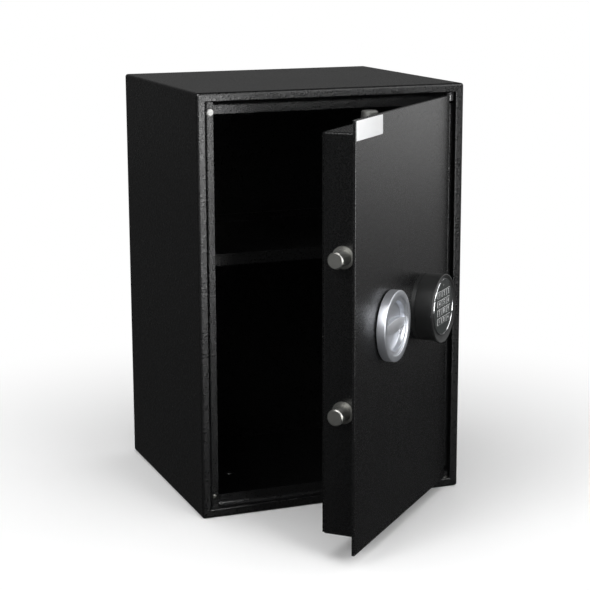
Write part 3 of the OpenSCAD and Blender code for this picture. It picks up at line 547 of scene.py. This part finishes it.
def from_curve(curve):
    """A bmesh of the surface of a curve, which is removed."""
    rough = bpy.data.objects.new(curve.name, curve)
    bpy.context.scene.collection.objects.link(rough)
    bm = bmesh.new()
    bm.from_mesh(rough.to_mesh())
    bpy.data.objects.remove(rough)
    bpy.data.curves.remove(curve)
    return bm


def joined(bm, other):
    """Adds a second bmesh to the first."""
    mesh = bpy.data.meshes.new("joined")
    other.to_mesh(mesh)
    other.free()
    bm.from_mesh(mesh)
    bpy.data.meshes.remove(mesh)


def dress(finish, *nodes):
    """Gives the nodes of the frame a finish."""
    for name in nodes:
        mesh = frame["nodes"][name].data
        mesh.materials.clear()
        mesh.materials.append(finish)


def door_axis(point, direction):
    """The frame of a round piece on the door: its z axis runs along direction, as on the shut door."""
    turn = Vector((0, 0, 1)).rotation_difference(Vector(direction)).to_matrix().to_4x4()
    return shut_to_rest() @ Matrix.Translation(point) @ turn


class SAFE_OT_coat(bpy.types.Operator):
    """Puts the powder coat on the cabinet and the door"""

    bl_idname = "safe.coat"
    bl_label = "Powder coat"

    def execute(self, context):
        settings = context.scene.safe_coat
        dress(powder_coat("cabinet_coat", settings), "cabinet_shell", "back_panel", "shelf")
        dress(powder_coat("frame_coat", settings, grain=0.7, relief=0.7),
              "frame_left", "frame_right", "frame_top", "frame_bottom", "hinge_sockets")
        dress(powder_coat("door_coat", settings, grain=0.6, relief=0.3, roughness=-0.06, gloss=0.8),
              "door_plate", "hinge_brackets")
        dress(powder_coat("pan_coat", settings, grain=0.6, relief=0.35, roughness=-0.06), "door_pan", "rear_cover")
        return {"FINISHED"}


class SAFE_OT_steelwork(bpy.types.Operator):
    """Finishes the plated and bright steel of the bolt work, the hinges and the fixings"""

    bl_idname = "safe.steelwork"
    bl_label = "Steelwork"

    def execute(self, context):
        dress(plated_steel("zinc_plate", (0.56, 0.56, 0.53)), "shelf_supports", "guide_studs", "hard_plate",
              "cover_screws", "lock_screws", "keypad_screws", "spindle", "cam_disc", "spindle_clip", "bolt_carriage",
              "top_rod", "bottom_rod", "lock_bolt")
        # The hinge washers and the jamb screw take a darker copy of the zinc plate, which is painted shade. Above the
        # middle the washers turn to the black-oxide colour, painted shade under the top of the door; the pins and the
        # dog bar are black oxide.
        plate, oxide_and_shade = (0.16, 0.16, 0.15), (0.035, 0.035, 0.036)
        dress(plated_steel("jamb_plate_shaded", plate, roughness=0.45), "jamb_screw")
        dress(plated_steel("washer_plate_shaded_above", plate, roughness=0.45, upper=oxide_and_shade), "hinge_washers")
        dress(plated_steel("hinge_oxide", oxide_and_shade, roughness=0.5), "hinge_pins", "dog_bar")
        across = door_axis((0, BOLT_Y, MIDDLE_Z), (1, 0, 0))
        upright = door_axis((END_BOLT_X, BOLT_Y, MIDDLE_Z), (0, 0, 1))
        steel = (0.30, 0.30, 0.285)
        dress(turned_steel("side_bolt_steel", steel, across, roughness=0.42), "side_bolts", "bolt_bushes")
        dress(turned_steel("end_bolt_steel", steel, upright, roughness=0.42), "top_bolt", "bottom_bolt")
        return {"FINISHED"}


class SAFE_OT_lockwork(bpy.types.Operator):
    """Finishes the lock and the electrical pieces"""

    bl_idname = "safe.lockwork"
    bl_label = "Lockwork"

    def execute(self, context):
        dress(cast_case("lock_casting", (0.40, 0.40, 0.39)), "lock_body", "lock_cover")
        dress(turned_steel("bearing_brass", (0.72, 0.52, 0.22), on_plate(KNOB_X, MIDDLE_Z), roughness=0.28,
                           along_axis=False), "spindle_bush")
        dress(circuit_laminate("board_laminate"), "keypad_board")
        dress(moulded_plastic("mat_rubber", (0.055, 0.055, 0.058), roughness=0.7, grain=0.0008, relief=0.00003),
              "key_mat")
        dress(moulded_plastic("battery_case", (0.05, 0.06, 0.09), roughness=0.35, grain=0.0006), "keypad_battery")
        return {"FINISHED"}


class SAFE_OT_cable(bpy.types.Operator):
    """Makes the cable from the keypad to the lock"""

    bl_idname = "safe.cable"
    bl_label = "Lock cable"

    def execute(self, context):
        curve = bpy.data.curves.new("cable_line", "CURVE")
        curve.dimensions = "3D"
        curve.resolution_u = 4
        curve.bevel_depth = CABLE_RADIUS
        curve.bevel_resolution = 4
        curve.use_fill_caps = True
        line = curve.splines.new("NURBS")
        line.points.add(len(CABLE_ROUTE) - 1)
        for point, at in zip(line.points, CABLE_ROUTE):
            point.co = (*(shut_to_rest() @ Vector([part / 1000 for part in at])), 1.0)
        line.order_u = 4
        line.use_endpoint_u = True
        sheath = moulded_plastic("cable_sheath", (0.014, 0.014, 0.015), roughness=0.5, grain=0.0009, relief=0.00002)
        made(from_curve(curve), "cable", "door", Matrix.Identity(4), [sheath], ["lock_cable"])
        return {"FINISHED"}


class SAFE_OT_knob(bpy.types.Operator):
    """Makes the turn knob"""

    bl_idname = "safe.knob"
    bl_label = "Turn knob"

    def execute(self, context):
        s = context.scene.safe_knob
        ledge = s.thickness - s.ledge_depth
        floor = s.thickness - s.dish_depth
        draft, lean = 0.0004, 0.0012
        rim_round, ledge_round, floor_round = 0.0012, 0.0005, 0.0015
        mouth, foot = s.pocket_radius + draft, s.pocket_radius - lean
        bm = turned([(0, 0), (s.radius - rim_round, 0), (s.radius, rim_round), (s.radius, s.thickness),
                     (s.dish_radius + draft, s.thickness), (s.dish_radius, ledge), (mouth, ledge), (foot, floor),
                     (0, floor)], ROUND_STEPS)
        # Each rounding takes the edges in front of the chamfer at the back that lie between two radii
        for offset, inside, outside in ((rim_round, s.dish_radius + NEAR, s.radius),
                                        (ledge_round, s.pocket_radius, s.dish_radius),
                                        (floor_round, foot - NEAR, foot)):
            round_edges(bm, offset, segments=4, angle=0.6, choose=lambda e: all(
                inside < v.co.xy.length < outside + NEAR and v.co.z > rim_round + NEAR for v in e.verts))
        joined(bm, self.grip(s, floor))
        place = on_plate(KNOB_X, MIDDLE_Z, s.clearance)
        finishes = [satin_alloy("knob_alloy", s.colour, place), satin_alloy("grip_alloy", s.grip_colour, place)]
        made(bm, "knob", "knob", place, finishes, ["turn_knob"])
        return {"FINISHED"}

    @staticmethod
    def grip(s, floor):
        """The bar between the pockets: two shallow arcs between the ends, with rounded long edges."""
        past_wall, sunk = 0.0006, 0.0008
        reach = s.pocket_radius + past_wall
        bow = s.grip_half - s.grip_end_half
        arc = (reach * reach + bow * bow) / (2 * bow)
        bm = bmesh.new()
        start = bm.verts.new((-reach, s.grip_end_half, floor - sunk))
        bmesh.ops.spin(bm, geom=[start], cent=(0, s.grip_half - arc, 0), axis=(0, 0, 1), dvec=(0, 0, 0),
                       angle=-2 * math.asin(reach / arc), steps=24, use_merge=False, use_duplicate=False)
        upper = list(bm.edges)
        copied = bmesh.ops.duplicate(bm, geom=[*bm.verts, *upper])["geom"]
        bmesh.ops.scale(bm, vec=(1, -1, 1), verts=[part for part in copied if isinstance(part, bmesh.types.BMVert)])
        lower = [part for part in copied if isinstance(part, bmesh.types.BMEdge)]
        bmesh.ops.bridge_loops(bm, edges=upper + lower)
        top = s.thickness - s.grip_recess
        lifted = bmesh.ops.extrude_face_region(bm, geom=list(bm.faces))["geom"]
        bmesh.ops.translate(bm, vec=(0, 0, top - floor + sunk),
                            verts=[part for part in lifted if isinstance(part, bmesh.types.BMVert)])
        bmesh.ops.recalc_face_normals(bm, faces=bm.faces)
        round_edges(bm, 0.0005, segments=3, angle=0.6, choose=lambda e: min(v.co.z for v in e.verts) > top - NEAR)
        # Its front takes the second finish
        bm.normal_update()
        for face in bm.faces:
            face.material_index = int(face.normal.z > 0.5)
        return bm


class SAFE_OT_keypad(bpy.types.Operator):
    """Makes the housing, the ring and the lens of the keypad, and finishes its base and face plate"""

    bl_idname = "safe.keypad"
    bl_label = "Keypad"

    def execute(self, context):
        s = context.scene.safe_keypad
        place = on_plate(KEYPAD_X, MIDDLE_Z)
        black = moulded_plastic("keypad_plastic", s.plastic, roughness=0.36, grain=0.0005, relief=0.000012)
        dress(black, "keypad_base")
        front = s.height - s.face_sink
        seat = front - s.face_thickness
        seat_back = seat - 0.0015
        opening = s.face_radius + s.ring_width
        bore = s.face_radius - 0.0008
        inner = s.radius - s.wall
        joint_radius, joint_top = s.radius - s.joint[1], s.base_height + s.joint[0]
        flare_foot, flare_end, funnel_foot = s.height - 0.0088, s.height - 0.0028, s.height - 0.002
        shell = turned([(inner, s.base_height), (joint_radius, s.base_height), (joint_radius, joint_top),
                        (s.radius, joint_top), (s.radius, flare_foot), (s.rim_radius, flare_end),
                        (s.rim_radius, s.height - 0.0008), (s.rim_radius - 0.0005, s.height - 0.0002),
                        (s.rim_radius - 0.0016, s.height), (opening + 0.0012, funnel_foot), (opening, funnel_foot),
                        (opening, seat), (bore, seat), (bore, seat_back), (inner, seat_back)],
                       ROUND_STEPS, closed=True)
        # The rim lies a little below the middle of the housing, and the bed of the face a little above it
        rim = [v for v in shell.verts if v.co.z > flare_end - NEAR and v.co.xy.length > opening + NEAR]
        bed = [v for v in shell.verts if v.co.z > seat_back - NEAR and v.co.xy.length < opening + NEAR]
        bmesh.ops.translate(shell, vec=(0, -s.rim_drop, 0), verts=rim)
        bmesh.ops.translate(shell, vec=(0, s.face_rise, 0), verts=bed)
        round_edges(shell, 0.0003, segments=3, angle=0.35)
        made(shell, "keypad_shell", "door", place, [black], ["keypad_housing"])

        face_place = on_plate(KEYPAD_X, MIDDLE_Z + s.face_rise)
        crest = front + 0.0007
        shoulder, side = crest - 0.0004, crest - 0.0009
        crown, half_crown, slope = (s.face_radius + opening) / 2, 0.0003, 0.0002
        ring = turned([(s.face_radius, seat), (opening, seat), (opening, side), (opening - slope, shoulder),
                       (crown + half_crown, crest), (crown - half_crown, crest), (s.face_radius + slope, shoulder),
                       (s.face_radius, side)], ROUND_STEPS, closed=True)
        made(ring, "bright_ring", "door", face_place, [polished_ring("face_ring", face_place)],
             ["keypad_ring"])

        stem, foot = s.lens_radius - 0.00002, seat - 0.002
        dome = [(s.lens_radius - inwards, front + rise) for inwards, rise in (
            (0.0002, 0.00025), (0.0007, 0.0005), (0.0013, 0.00065), (s.lens_radius, 0.0007))]
        lens = turned([(0, foot), (stem, foot), (stem, front), *dome], steps=48)
        lens_place = on_plate(KEYPAD_X, MIDDLE_Z + s.lens_height)
        made(lens, "indicator_lens", "door", lens_place, [smoked_lens("lens")], ["led_lens"])
        dress(moulded_plastic("face_plastic", s.face_colour, roughness=0.42, grain=0.0004, relief=0.000008),
              "keypad_face")
        return {"FINISHED"}


def printed_digit(digit, height, thickness):
    """A bmesh of one printed digit, centred on its own middle and as high as height."""
    widen = 1.05
    curve = bpy.data.curves.new("digit_line", "FONT")
    curve.body = digit
    curve.resolution_u = 6
    curve.extrude = 0.5
    bm = from_curve(curve)
    low = Vector([min(v.co[axis] for v in bm.verts) for axis in range(3)])
    high = Vector([max(v.co[axis] for v in bm.verts) for axis in range(3)])
    bmesh.ops.translate(bm, vec=-(low + high) / 2, verts=bm.verts)
    size = height / (high.y - low.y)
    bmesh.ops.scale(bm, vec=(size * widen, size, thickness), verts=bm.verts)
    return bm


class SAFE_OT_keys(bpy.types.Operator):
    """Makes the twelve keys and the plain digits on them"""

    bl_idname = "safe.keys"
    bl_label = "Keys"

    MARKS = ["1", "2", "3", "4", "5", "6", "7", "8", "9", "ring", "0", "dot"]
    ROUNDS = {"ring": (0.0013, 0.0018), "dot": (0, 0.0015)}

    def execute(self, context):
        s = context.scene.safe_keypad
        grain = 0.0003
        cap = moulded_plastic("key_plastic", (0.045, 0.048, 0.048), 0.4, grain, relief=0.000008)
        edge = moulded_plastic("key_edge", (0.62, 0.63, 0.63), 0.42, grain, relief=0.000006, spread=0.05)
        print_white = moulded_plastic("key_print", (0.78, 0.79, 0.79), 0.5, grain, relief=0.000004, spread=0.04)
        front = s.height - s.face_sink + s.key_proud
        for index, mark in enumerate(self.MARKS):
            column, row = index % 3, index // 3
            x = KEYPAD_X + s.key_pitch[0] * (column - 1)
            z = MIDDLE_Z + s.key_top - s.key_pitch[1] * row
            name = f"key_{index + 1}"
            place = on_plate(x, z)
            made(self.key(s, front), f"{name}_cap", name, place, [cap, edge], [name], 0.6)
            made(self.mark(s, mark), f"{name}_print", name, on_plate(x, z, front), [print_white])
        return {"FINISHED"}

    @staticmethod
    def key(s, front):
        """A key with a pale chamfered edge and a dark face, over a wider foot."""
        width, height = s.key_size
        travel_room, overlap, foot_thickness, foot_step = 0.004, 0.0002, 0.0016, 0.001
        foot_front = front - travel_room
        bm = slab(width, height, foot_front - overlap, front, corner=0.0011)
        round_edges(bm, 0.0004, segments=2, angle=0.6, choose=lambda e: min(v.co.z for v in e.verts) > front - NEAR)
        # Its chamfer takes the second finish
        bm.normal_update()
        for face in bm.faces:
            face.material_index = int(0.3 < face.normal.z < 0.95)
        joined(bm, slab(width + foot_step, height + foot_step, foot_front - foot_thickness, foot_front,
                        corner=0.0012, segments=3))
        return bm

    @staticmethod
    def mark(s, mark):
        """A digit, a small ring or a dot."""
        thickness = 0.00006
        if mark in SAFE_OT_keys.ROUNDS:
            inside, outside = SAFE_OT_keys.ROUNDS[mark]
            back, front = -thickness / 2, thickness / 2
            return turned([(inside, back), (outside, back), (outside, front), (inside, front)], steps=32,
                          closed=inside > 0)
        return printed_digit(mark, s.digit_height, thickness)


class SAFE_OT_label(bpy.types.Operator):
    """Makes the bare white label at the top of the door"""

    bl_idname = "safe.label"
    bl_label = "Label"

    def execute(self, context):
        margin, back, front = 0.0014, 0.00001, 0.00019
        low_x, high_x = PLATE_FREE_X + margin, PLATE_FREE_X + 0.091
        low_z, high_z = PLATE_TOP_Z - 0.0265, PLATE_TOP_Z - margin
        bm = slab(high_x - low_x, high_z - low_z, back, front, corner=0.0012)
        round_edges(bm, 0.00006, segments=2, angle=0.6,
                    choose=lambda e: min(v.co.z for v in e.verts) > (back + front) / 2)
        place = on_plate((low_x + high_x) / 2, (low_z + high_z) / 2)
        made(bm, "blank_label", "door", place, [label_film("label_white")], ["door_label"])
        return {"FINISHED"}


class SAFE_OT_buffer(bpy.types.Operator):
    """Makes the soft white cap on the stop lip"""

    bl_idname = "safe.buffer"
    bl_label = "Buffer"

    def execute(self, context):
        low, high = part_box("door_buffer")
        centre = (low + high) / 2
        radius = (high.x - low.x) / 2
        # A little lower than its solid, so that the shut door stays clear of it
        lower = 0.0004
        tall = LIP_FRONT - low.y - lower
        stem_radius, barb_radius, barb_front, barb_back = 0.002, 0.003, -0.0026, -0.0039
        dome = [(radius * across, tall * up) for across, up in (
            (1.0, 0.42), (0.86, 0.78), (0.52, 0.95), (0.25, 1.0), (0.0, 1.0))]
        bm = turned([(0, barb_back), (barb_radius, barb_back), (barb_radius, barb_front),
                     (stem_radius, barb_front + 0.0002), (stem_radius, 0.0), (radius, 0.0), *dome], steps=64)
        round_edges(bm, 0.0003, segments=2, angle=0.5)
        pip_radius, pip_out, pip_sunk = 0.00045, 0.0009, 0.0003
        for x, y in ((1, 1), (1, -1), (-1, 1), (-1, -1)):
            pip = bmesh.new()
            bmesh.ops.create_uvsphere(pip, u_segments=16, v_segments=10, radius=pip_radius)
            bmesh.ops.translate(pip, vec=(x * pip_out, y * pip_out, tall - pip_sunk), verts=pip.verts)
            joined(bm, pip)
        place = Matrix.Translation((centre.x, LIP_FRONT, centre.z)) @ Matrix.Rotation(math.pi / 2, 4, "X")
        white = moulded_plastic("white_cap", (0.82, 0.82, 0.80), roughness=0.45, grain=0.0006, spread=0.04)
        made(bm, "buffer_cap", "cabinet", place, [white], ["door_buffer"])
        return {"FINISHED"}


def stage_plane(name, width, depth, place, finish):
    """The floor or a card of the stage."""
    bm = bmesh.new()
    bmesh.ops.create_grid(bm, x_segments=1, y_segments=1, size=0.5)
    bmesh.ops.scale(bm, vec=(width, depth, 1), verts=bm.verts)
    bmesh.ops.transform(bm, matrix=place, verts=bm.verts)
    plane = linked(bm, name, [finish])
    return plane


def low_card_level(finish, point, s):
    """Dark round the cabinet and paler in the patches that each of its sides mirrors."""
    ramp = finish.ramp
    distance = finish.from_axis(point)
    across, back, _ = finish.axes(point)
    ahead, leftwards = 0.0 - back, 0.0 - across
    right = ramp(across, -0.8, 1.2) * (ramp(distance, 0.6, 2.2) * 0.14 + ramp(distance, 2.0, 6.5) * 0.55)
    front = ramp(ahead, 1.0, 2.0) * ramp(across, -0.5, 0.1) * ramp(0.7 - across, 0.0, 0.3)
    left = ramp(ahead + across * 0.8, 0.0, 0.8) * ramp(leftwards, -0.1, 0.5) * ramp(distance, 1.0, 2.6)
    behind = ramp(back, 0.9, 2.0) * ramp(across, -0.3, 0.3)
    beside = ramp(leftwards, 0.7, 1.5) * ramp(back, -0.6, -0.2) * ramp(0.7 - back, 0.0, 0.4)
    return right + front * 0.8 + left * 1.2 + behind * 0.25 + beside * 0.25 + s.dim_level


def back_card_level(finish, point, s):
    """A little paler to the right."""
    return 0.05 + finish.ramp(finish.axes(point)[0], -1.5, 0.8) * 0.12


def dim_card_level(finish, point, s):
    """One dim grey."""
    return s.dim_level


def front_card_level(finish, point, s):
    """A bright card that fades at both sides and towards its foot."""
    soft = 0.12
    across, _, up = finish.axes(point)
    left, right = s.card_place[0] - s.card_size[0] / 2, s.card_place[0] + s.card_size[0] / 2
    return (finish.ramp(across, left, left + soft) * finish.ramp(right - across, 0.0, soft)
            * finish.ramp(up, -0.05, 0.35) * s.card_level)


def left_card_level(finish, point, s):
    """Bright at its top only."""
    return finish.ramp(finish.axes(point)[2], 0.9, 1.6) * s.left_card


def high_card_level(finish, point, s):
    """Bright at its top only."""
    return finish.ramp(finish.axes(point)[2], 1.3, 1.6) * s.high_card


def right_card_level(finish, point, s):
    """The high card's light, and dimmer."""
    return high_card_level(finish, point, s) * 0.7


def aimed(place, target):
    """A place whose -z axis looks at the target."""
    direction = Vector(target) - Vector(place)
    return Matrix.Translation(place) @ direction.to_track_quat("-Z", "Y").to_matrix().to_4x4()


class SAFE_OT_stage(bpy.types.Operator):
    """Makes the floor, the cards, the lamps, the world and the camera"""

    bl_idname = "safe.stage"
    bl_label = "Stage"

    def execute(self, context):
        s = context.scene.safe_stage
        self.floor(s)
        self.cards(s)
        self.world(context, s)
        self.lamp("front_lamp", s.key_power, (0.7, 1.1), (0.35, -1.6, 0.9), (0.0, -0.175, 0.45))
        self.lamp("top_lamp", s.top_power, (2.2, 2.2), (-0.2, -0.3, 2.6), (0.0, 0.0, 0.0))
        self.lamp("left_lamp", s.left_power, (1.0, 1.6), (-2.3, -1.4, 1.5), (0.0, -0.2, 0.35))
        self.camera(context, s)
        context.scene.view_settings.view_transform = "Standard"
        return {"FINISHED"}

    @staticmethod
    def floor(s):
        """White far off, where it is the backdrop, and a plain pale surface with the shadow near the cabinet. It lies
        just below the feet of the safe."""
        shadow_end, backdrop_start = 0.3, 0.9
        finish = Finish("floor")
        point = finish.place()
        far = finish.ramp(finish.from_axis(point), shadow_end, backdrop_start)
        grain = finish.noise(point, 0.004, 2.0)
        white = s.floor_white + (grain - 0.5) * 0.01
        finish.surface(Base_Color=finish.add("ShaderNodeCombineColor", {}, {0: white, 1: white, 2: white}),
                       Roughness=0.9, Specular_IOR_Level=0.1)
        plain = Term(finish, finish.shader.outputs["BSDF"])
        shown = finish.add("ShaderNodeEmission", {}, {"Color": (1, 1, 1, 1), "Strength": 1.0})
        mix = finish.add("ShaderNodeMixShader", {}, {0: far * finish.seen(), 1: plain, 2: shown})
        finish.show("Material Output", mix)
        stage_plane("floor", 60.0, 60.0, Matrix.Translation((0, 0, -0.0002)), finish.material)

    @staticmethod
    def cards(s):
        """Grey and white cards that only shiny surfaces see, as round a black gloss object in a studio. The low card
        lies just above the floor."""
        for name, width, depth, place, level in (
                ("low_card", 16.0, 16.0, Matrix.Translation((0.0, 0.0, 0.0003)), low_card_level),
                ("back_card", 11.0, 5.0, aimed((1.5, 4.0, 2.5), (1.5, 0.0, 2.5)), back_card_level),
                ("front_card", s.card_size[0], s.card_size[1],
                 aimed(s.card_place, (s.card_place[0], 0.0, s.card_place[2])), front_card_level),
                ("left_card", 1.8, 2.8, aimed((-1.4, -1.8, 2.25), (0.0, -0.35, 0.3)), left_card_level),
                ("high_card", 1.6, 1.2, aimed((1.18, -2.08, 1.57), (0.1, -0.35, 0.3)), high_card_level),
                ("right_card", 1.6, 1.4, aimed((1.9, -1.0, 1.9), (0.1, -0.35, 0.3)), right_card_level),
                ("top_card", 9.0, 9.0, aimed((0.3, -0.5, 3.2), (0.3, -0.5, 0.0)), dim_card_level),
                ("left_wall", 9.0, 3.2, aimed((-4.5, -0.5, 1.6), (0.0, -0.5, 1.6)), dim_card_level),
                ("front_wall", 9.0, 3.2, aimed((0.0, -5.0, 1.6), (0.0, 0.0, 1.6)), dim_card_level)):
            finish = Finish(name)
            grey = level(finish, finish.place(), s)
            finish.surface(Base_Color=(0, 0, 0, 1), Roughness=1.0, Specular_IOR_Level=0.0, Emission_Strength=1.0,
                           Emission_Color=finish.add("ShaderNodeCombineColor", {}, {0: grey, 1: grey, 2: grey}))
            card = stage_plane(name, width, depth, place, finish.material)
            card.visible_camera = False
            card.visible_diffuse = False
            card.visible_shadow = False
            card.visible_transmission = False

    @staticmethod
    def world(context, s):
        """Soft light from all sides, that the camera and shiny surfaces see as white."""
        world = bpy.data.worlds.new("studio")
        world.use_nodes = True
        context.scene.world = world
        sky = Nodes(world.node_tree)
        sky.tree.nodes.remove(sky.tree.nodes["Background"])
        soft = sky.add("ShaderNodeBackground", {}, {"Color": (1, 1, 1, 1), "Strength": s.fill})
        white = sky.add("ShaderNodeBackground", {}, {"Color": (1, 1, 1, 1), "Strength": 1.0})
        mix = sky.add("ShaderNodeMixShader", {}, {0: sky.seen(), 1: soft, 2: white})
        sky.show("World Output", mix)

    @staticmethod
    def lamp(name, power, size, place, target):
        """A soft lamp of that width and height. Shiny surfaces see the cards instead of it."""
        data = bpy.data.lights.new(name, "AREA")
        data.shape = "RECTANGLE"
        data.size, data.size_y = size
        data.energy = power
        lamp = bpy.data.objects.new(name, data)
        lamp.matrix_world = aimed(place, target)
        lamp.visible_camera = False
        lamp.visible_glossy = False
        bpy.context.scene.collection.objects.link(lamp)

    @staticmethod
    def camera(context, s):
        """The camera at its place, with its azimuth, elevation and roll."""
        azimuth, elevation, roll = (math.radians(angle) for angle in s.camera_turn)
        back = Vector((math.sin(azimuth) * math.cos(elevation), -math.cos(azimuth) * math.cos(elevation),
                       math.sin(elevation)))
        right = (-back).cross(Vector((0, 0, 1))).normalized()
        up = right.cross(-back)
        turned_right = right * math.cos(roll) + up * math.sin(roll)
        turned_up = up * math.cos(roll) - right * math.sin(roll)
        data = bpy.data.cameras.new("camera")
        data.sensor_width = 36.0
        data.lens = s.lens
        data.clip_end = 200.0
        camera = bpy.data.objects.new("camera", data)
        columns = Matrix((turned_right, turned_up, back)).transposed().to_4x4()
        camera.matrix_world = Matrix.Translation(s.camera) @ columns
        context.scene.collection.objects.link(camera)
        context.scene.camera = camera


class SAFE_PT_panel(bpy.types.Panel):
    """The operators of the safe, in the order in which they run, and their settings."""

    bl_idname = "SAFE_PT_panel"
    bl_label = "Electronic safe"
    bl_space_type = "VIEW_3D"
    bl_region_type = "UI"
    bl_category = "Safe"

    def draw(self, context):
        for operator in OPERATORS:
            self.layout.operator(operator.bl_idname)
        for name in SETTINGS:
            box = self.layout.box()
            settings = getattr(context.scene, name)
            for field in settings.__annotations__:
                box.prop(settings, field)


SETTINGS = {
    "safe_coat": CoatSettings,
    "safe_knob": KnobSettings,
    "safe_keypad": KeypadSettings,
    "safe_stage": StageSettings,
}
OPERATORS = [SAFE_OT_coat, SAFE_OT_steelwork, SAFE_OT_lockwork, SAFE_OT_cable, SAFE_OT_knob, SAFE_OT_keypad,
             SAFE_OT_keys, SAFE_OT_label, SAFE_OT_buffer, SAFE_OT_stage]


def register():
    for kind in [*SETTINGS.values(), *OPERATORS, SAFE_PT_panel]:
        bpy.utils.register_class(kind)
    for name, kind in SETTINGS.items():
        setattr(bpy.types.Scene, name, bpy.props.PointerProperty(type=kind))


def unregister():
    for name in SETTINGS:
        delattr(bpy.types.Scene, name)
    for kind in reversed([*SETTINGS.values(), *OPERATORS, SAFE_PT_panel]):
        bpy.utils.unregister_class(kind)


def main():
    register()
    for operator in OPERATORS:
        group, name = operator.bl_idname.split(".")
        getattr(getattr(bpy.ops, group), name)()


if __name__ == "__main__":
    main()
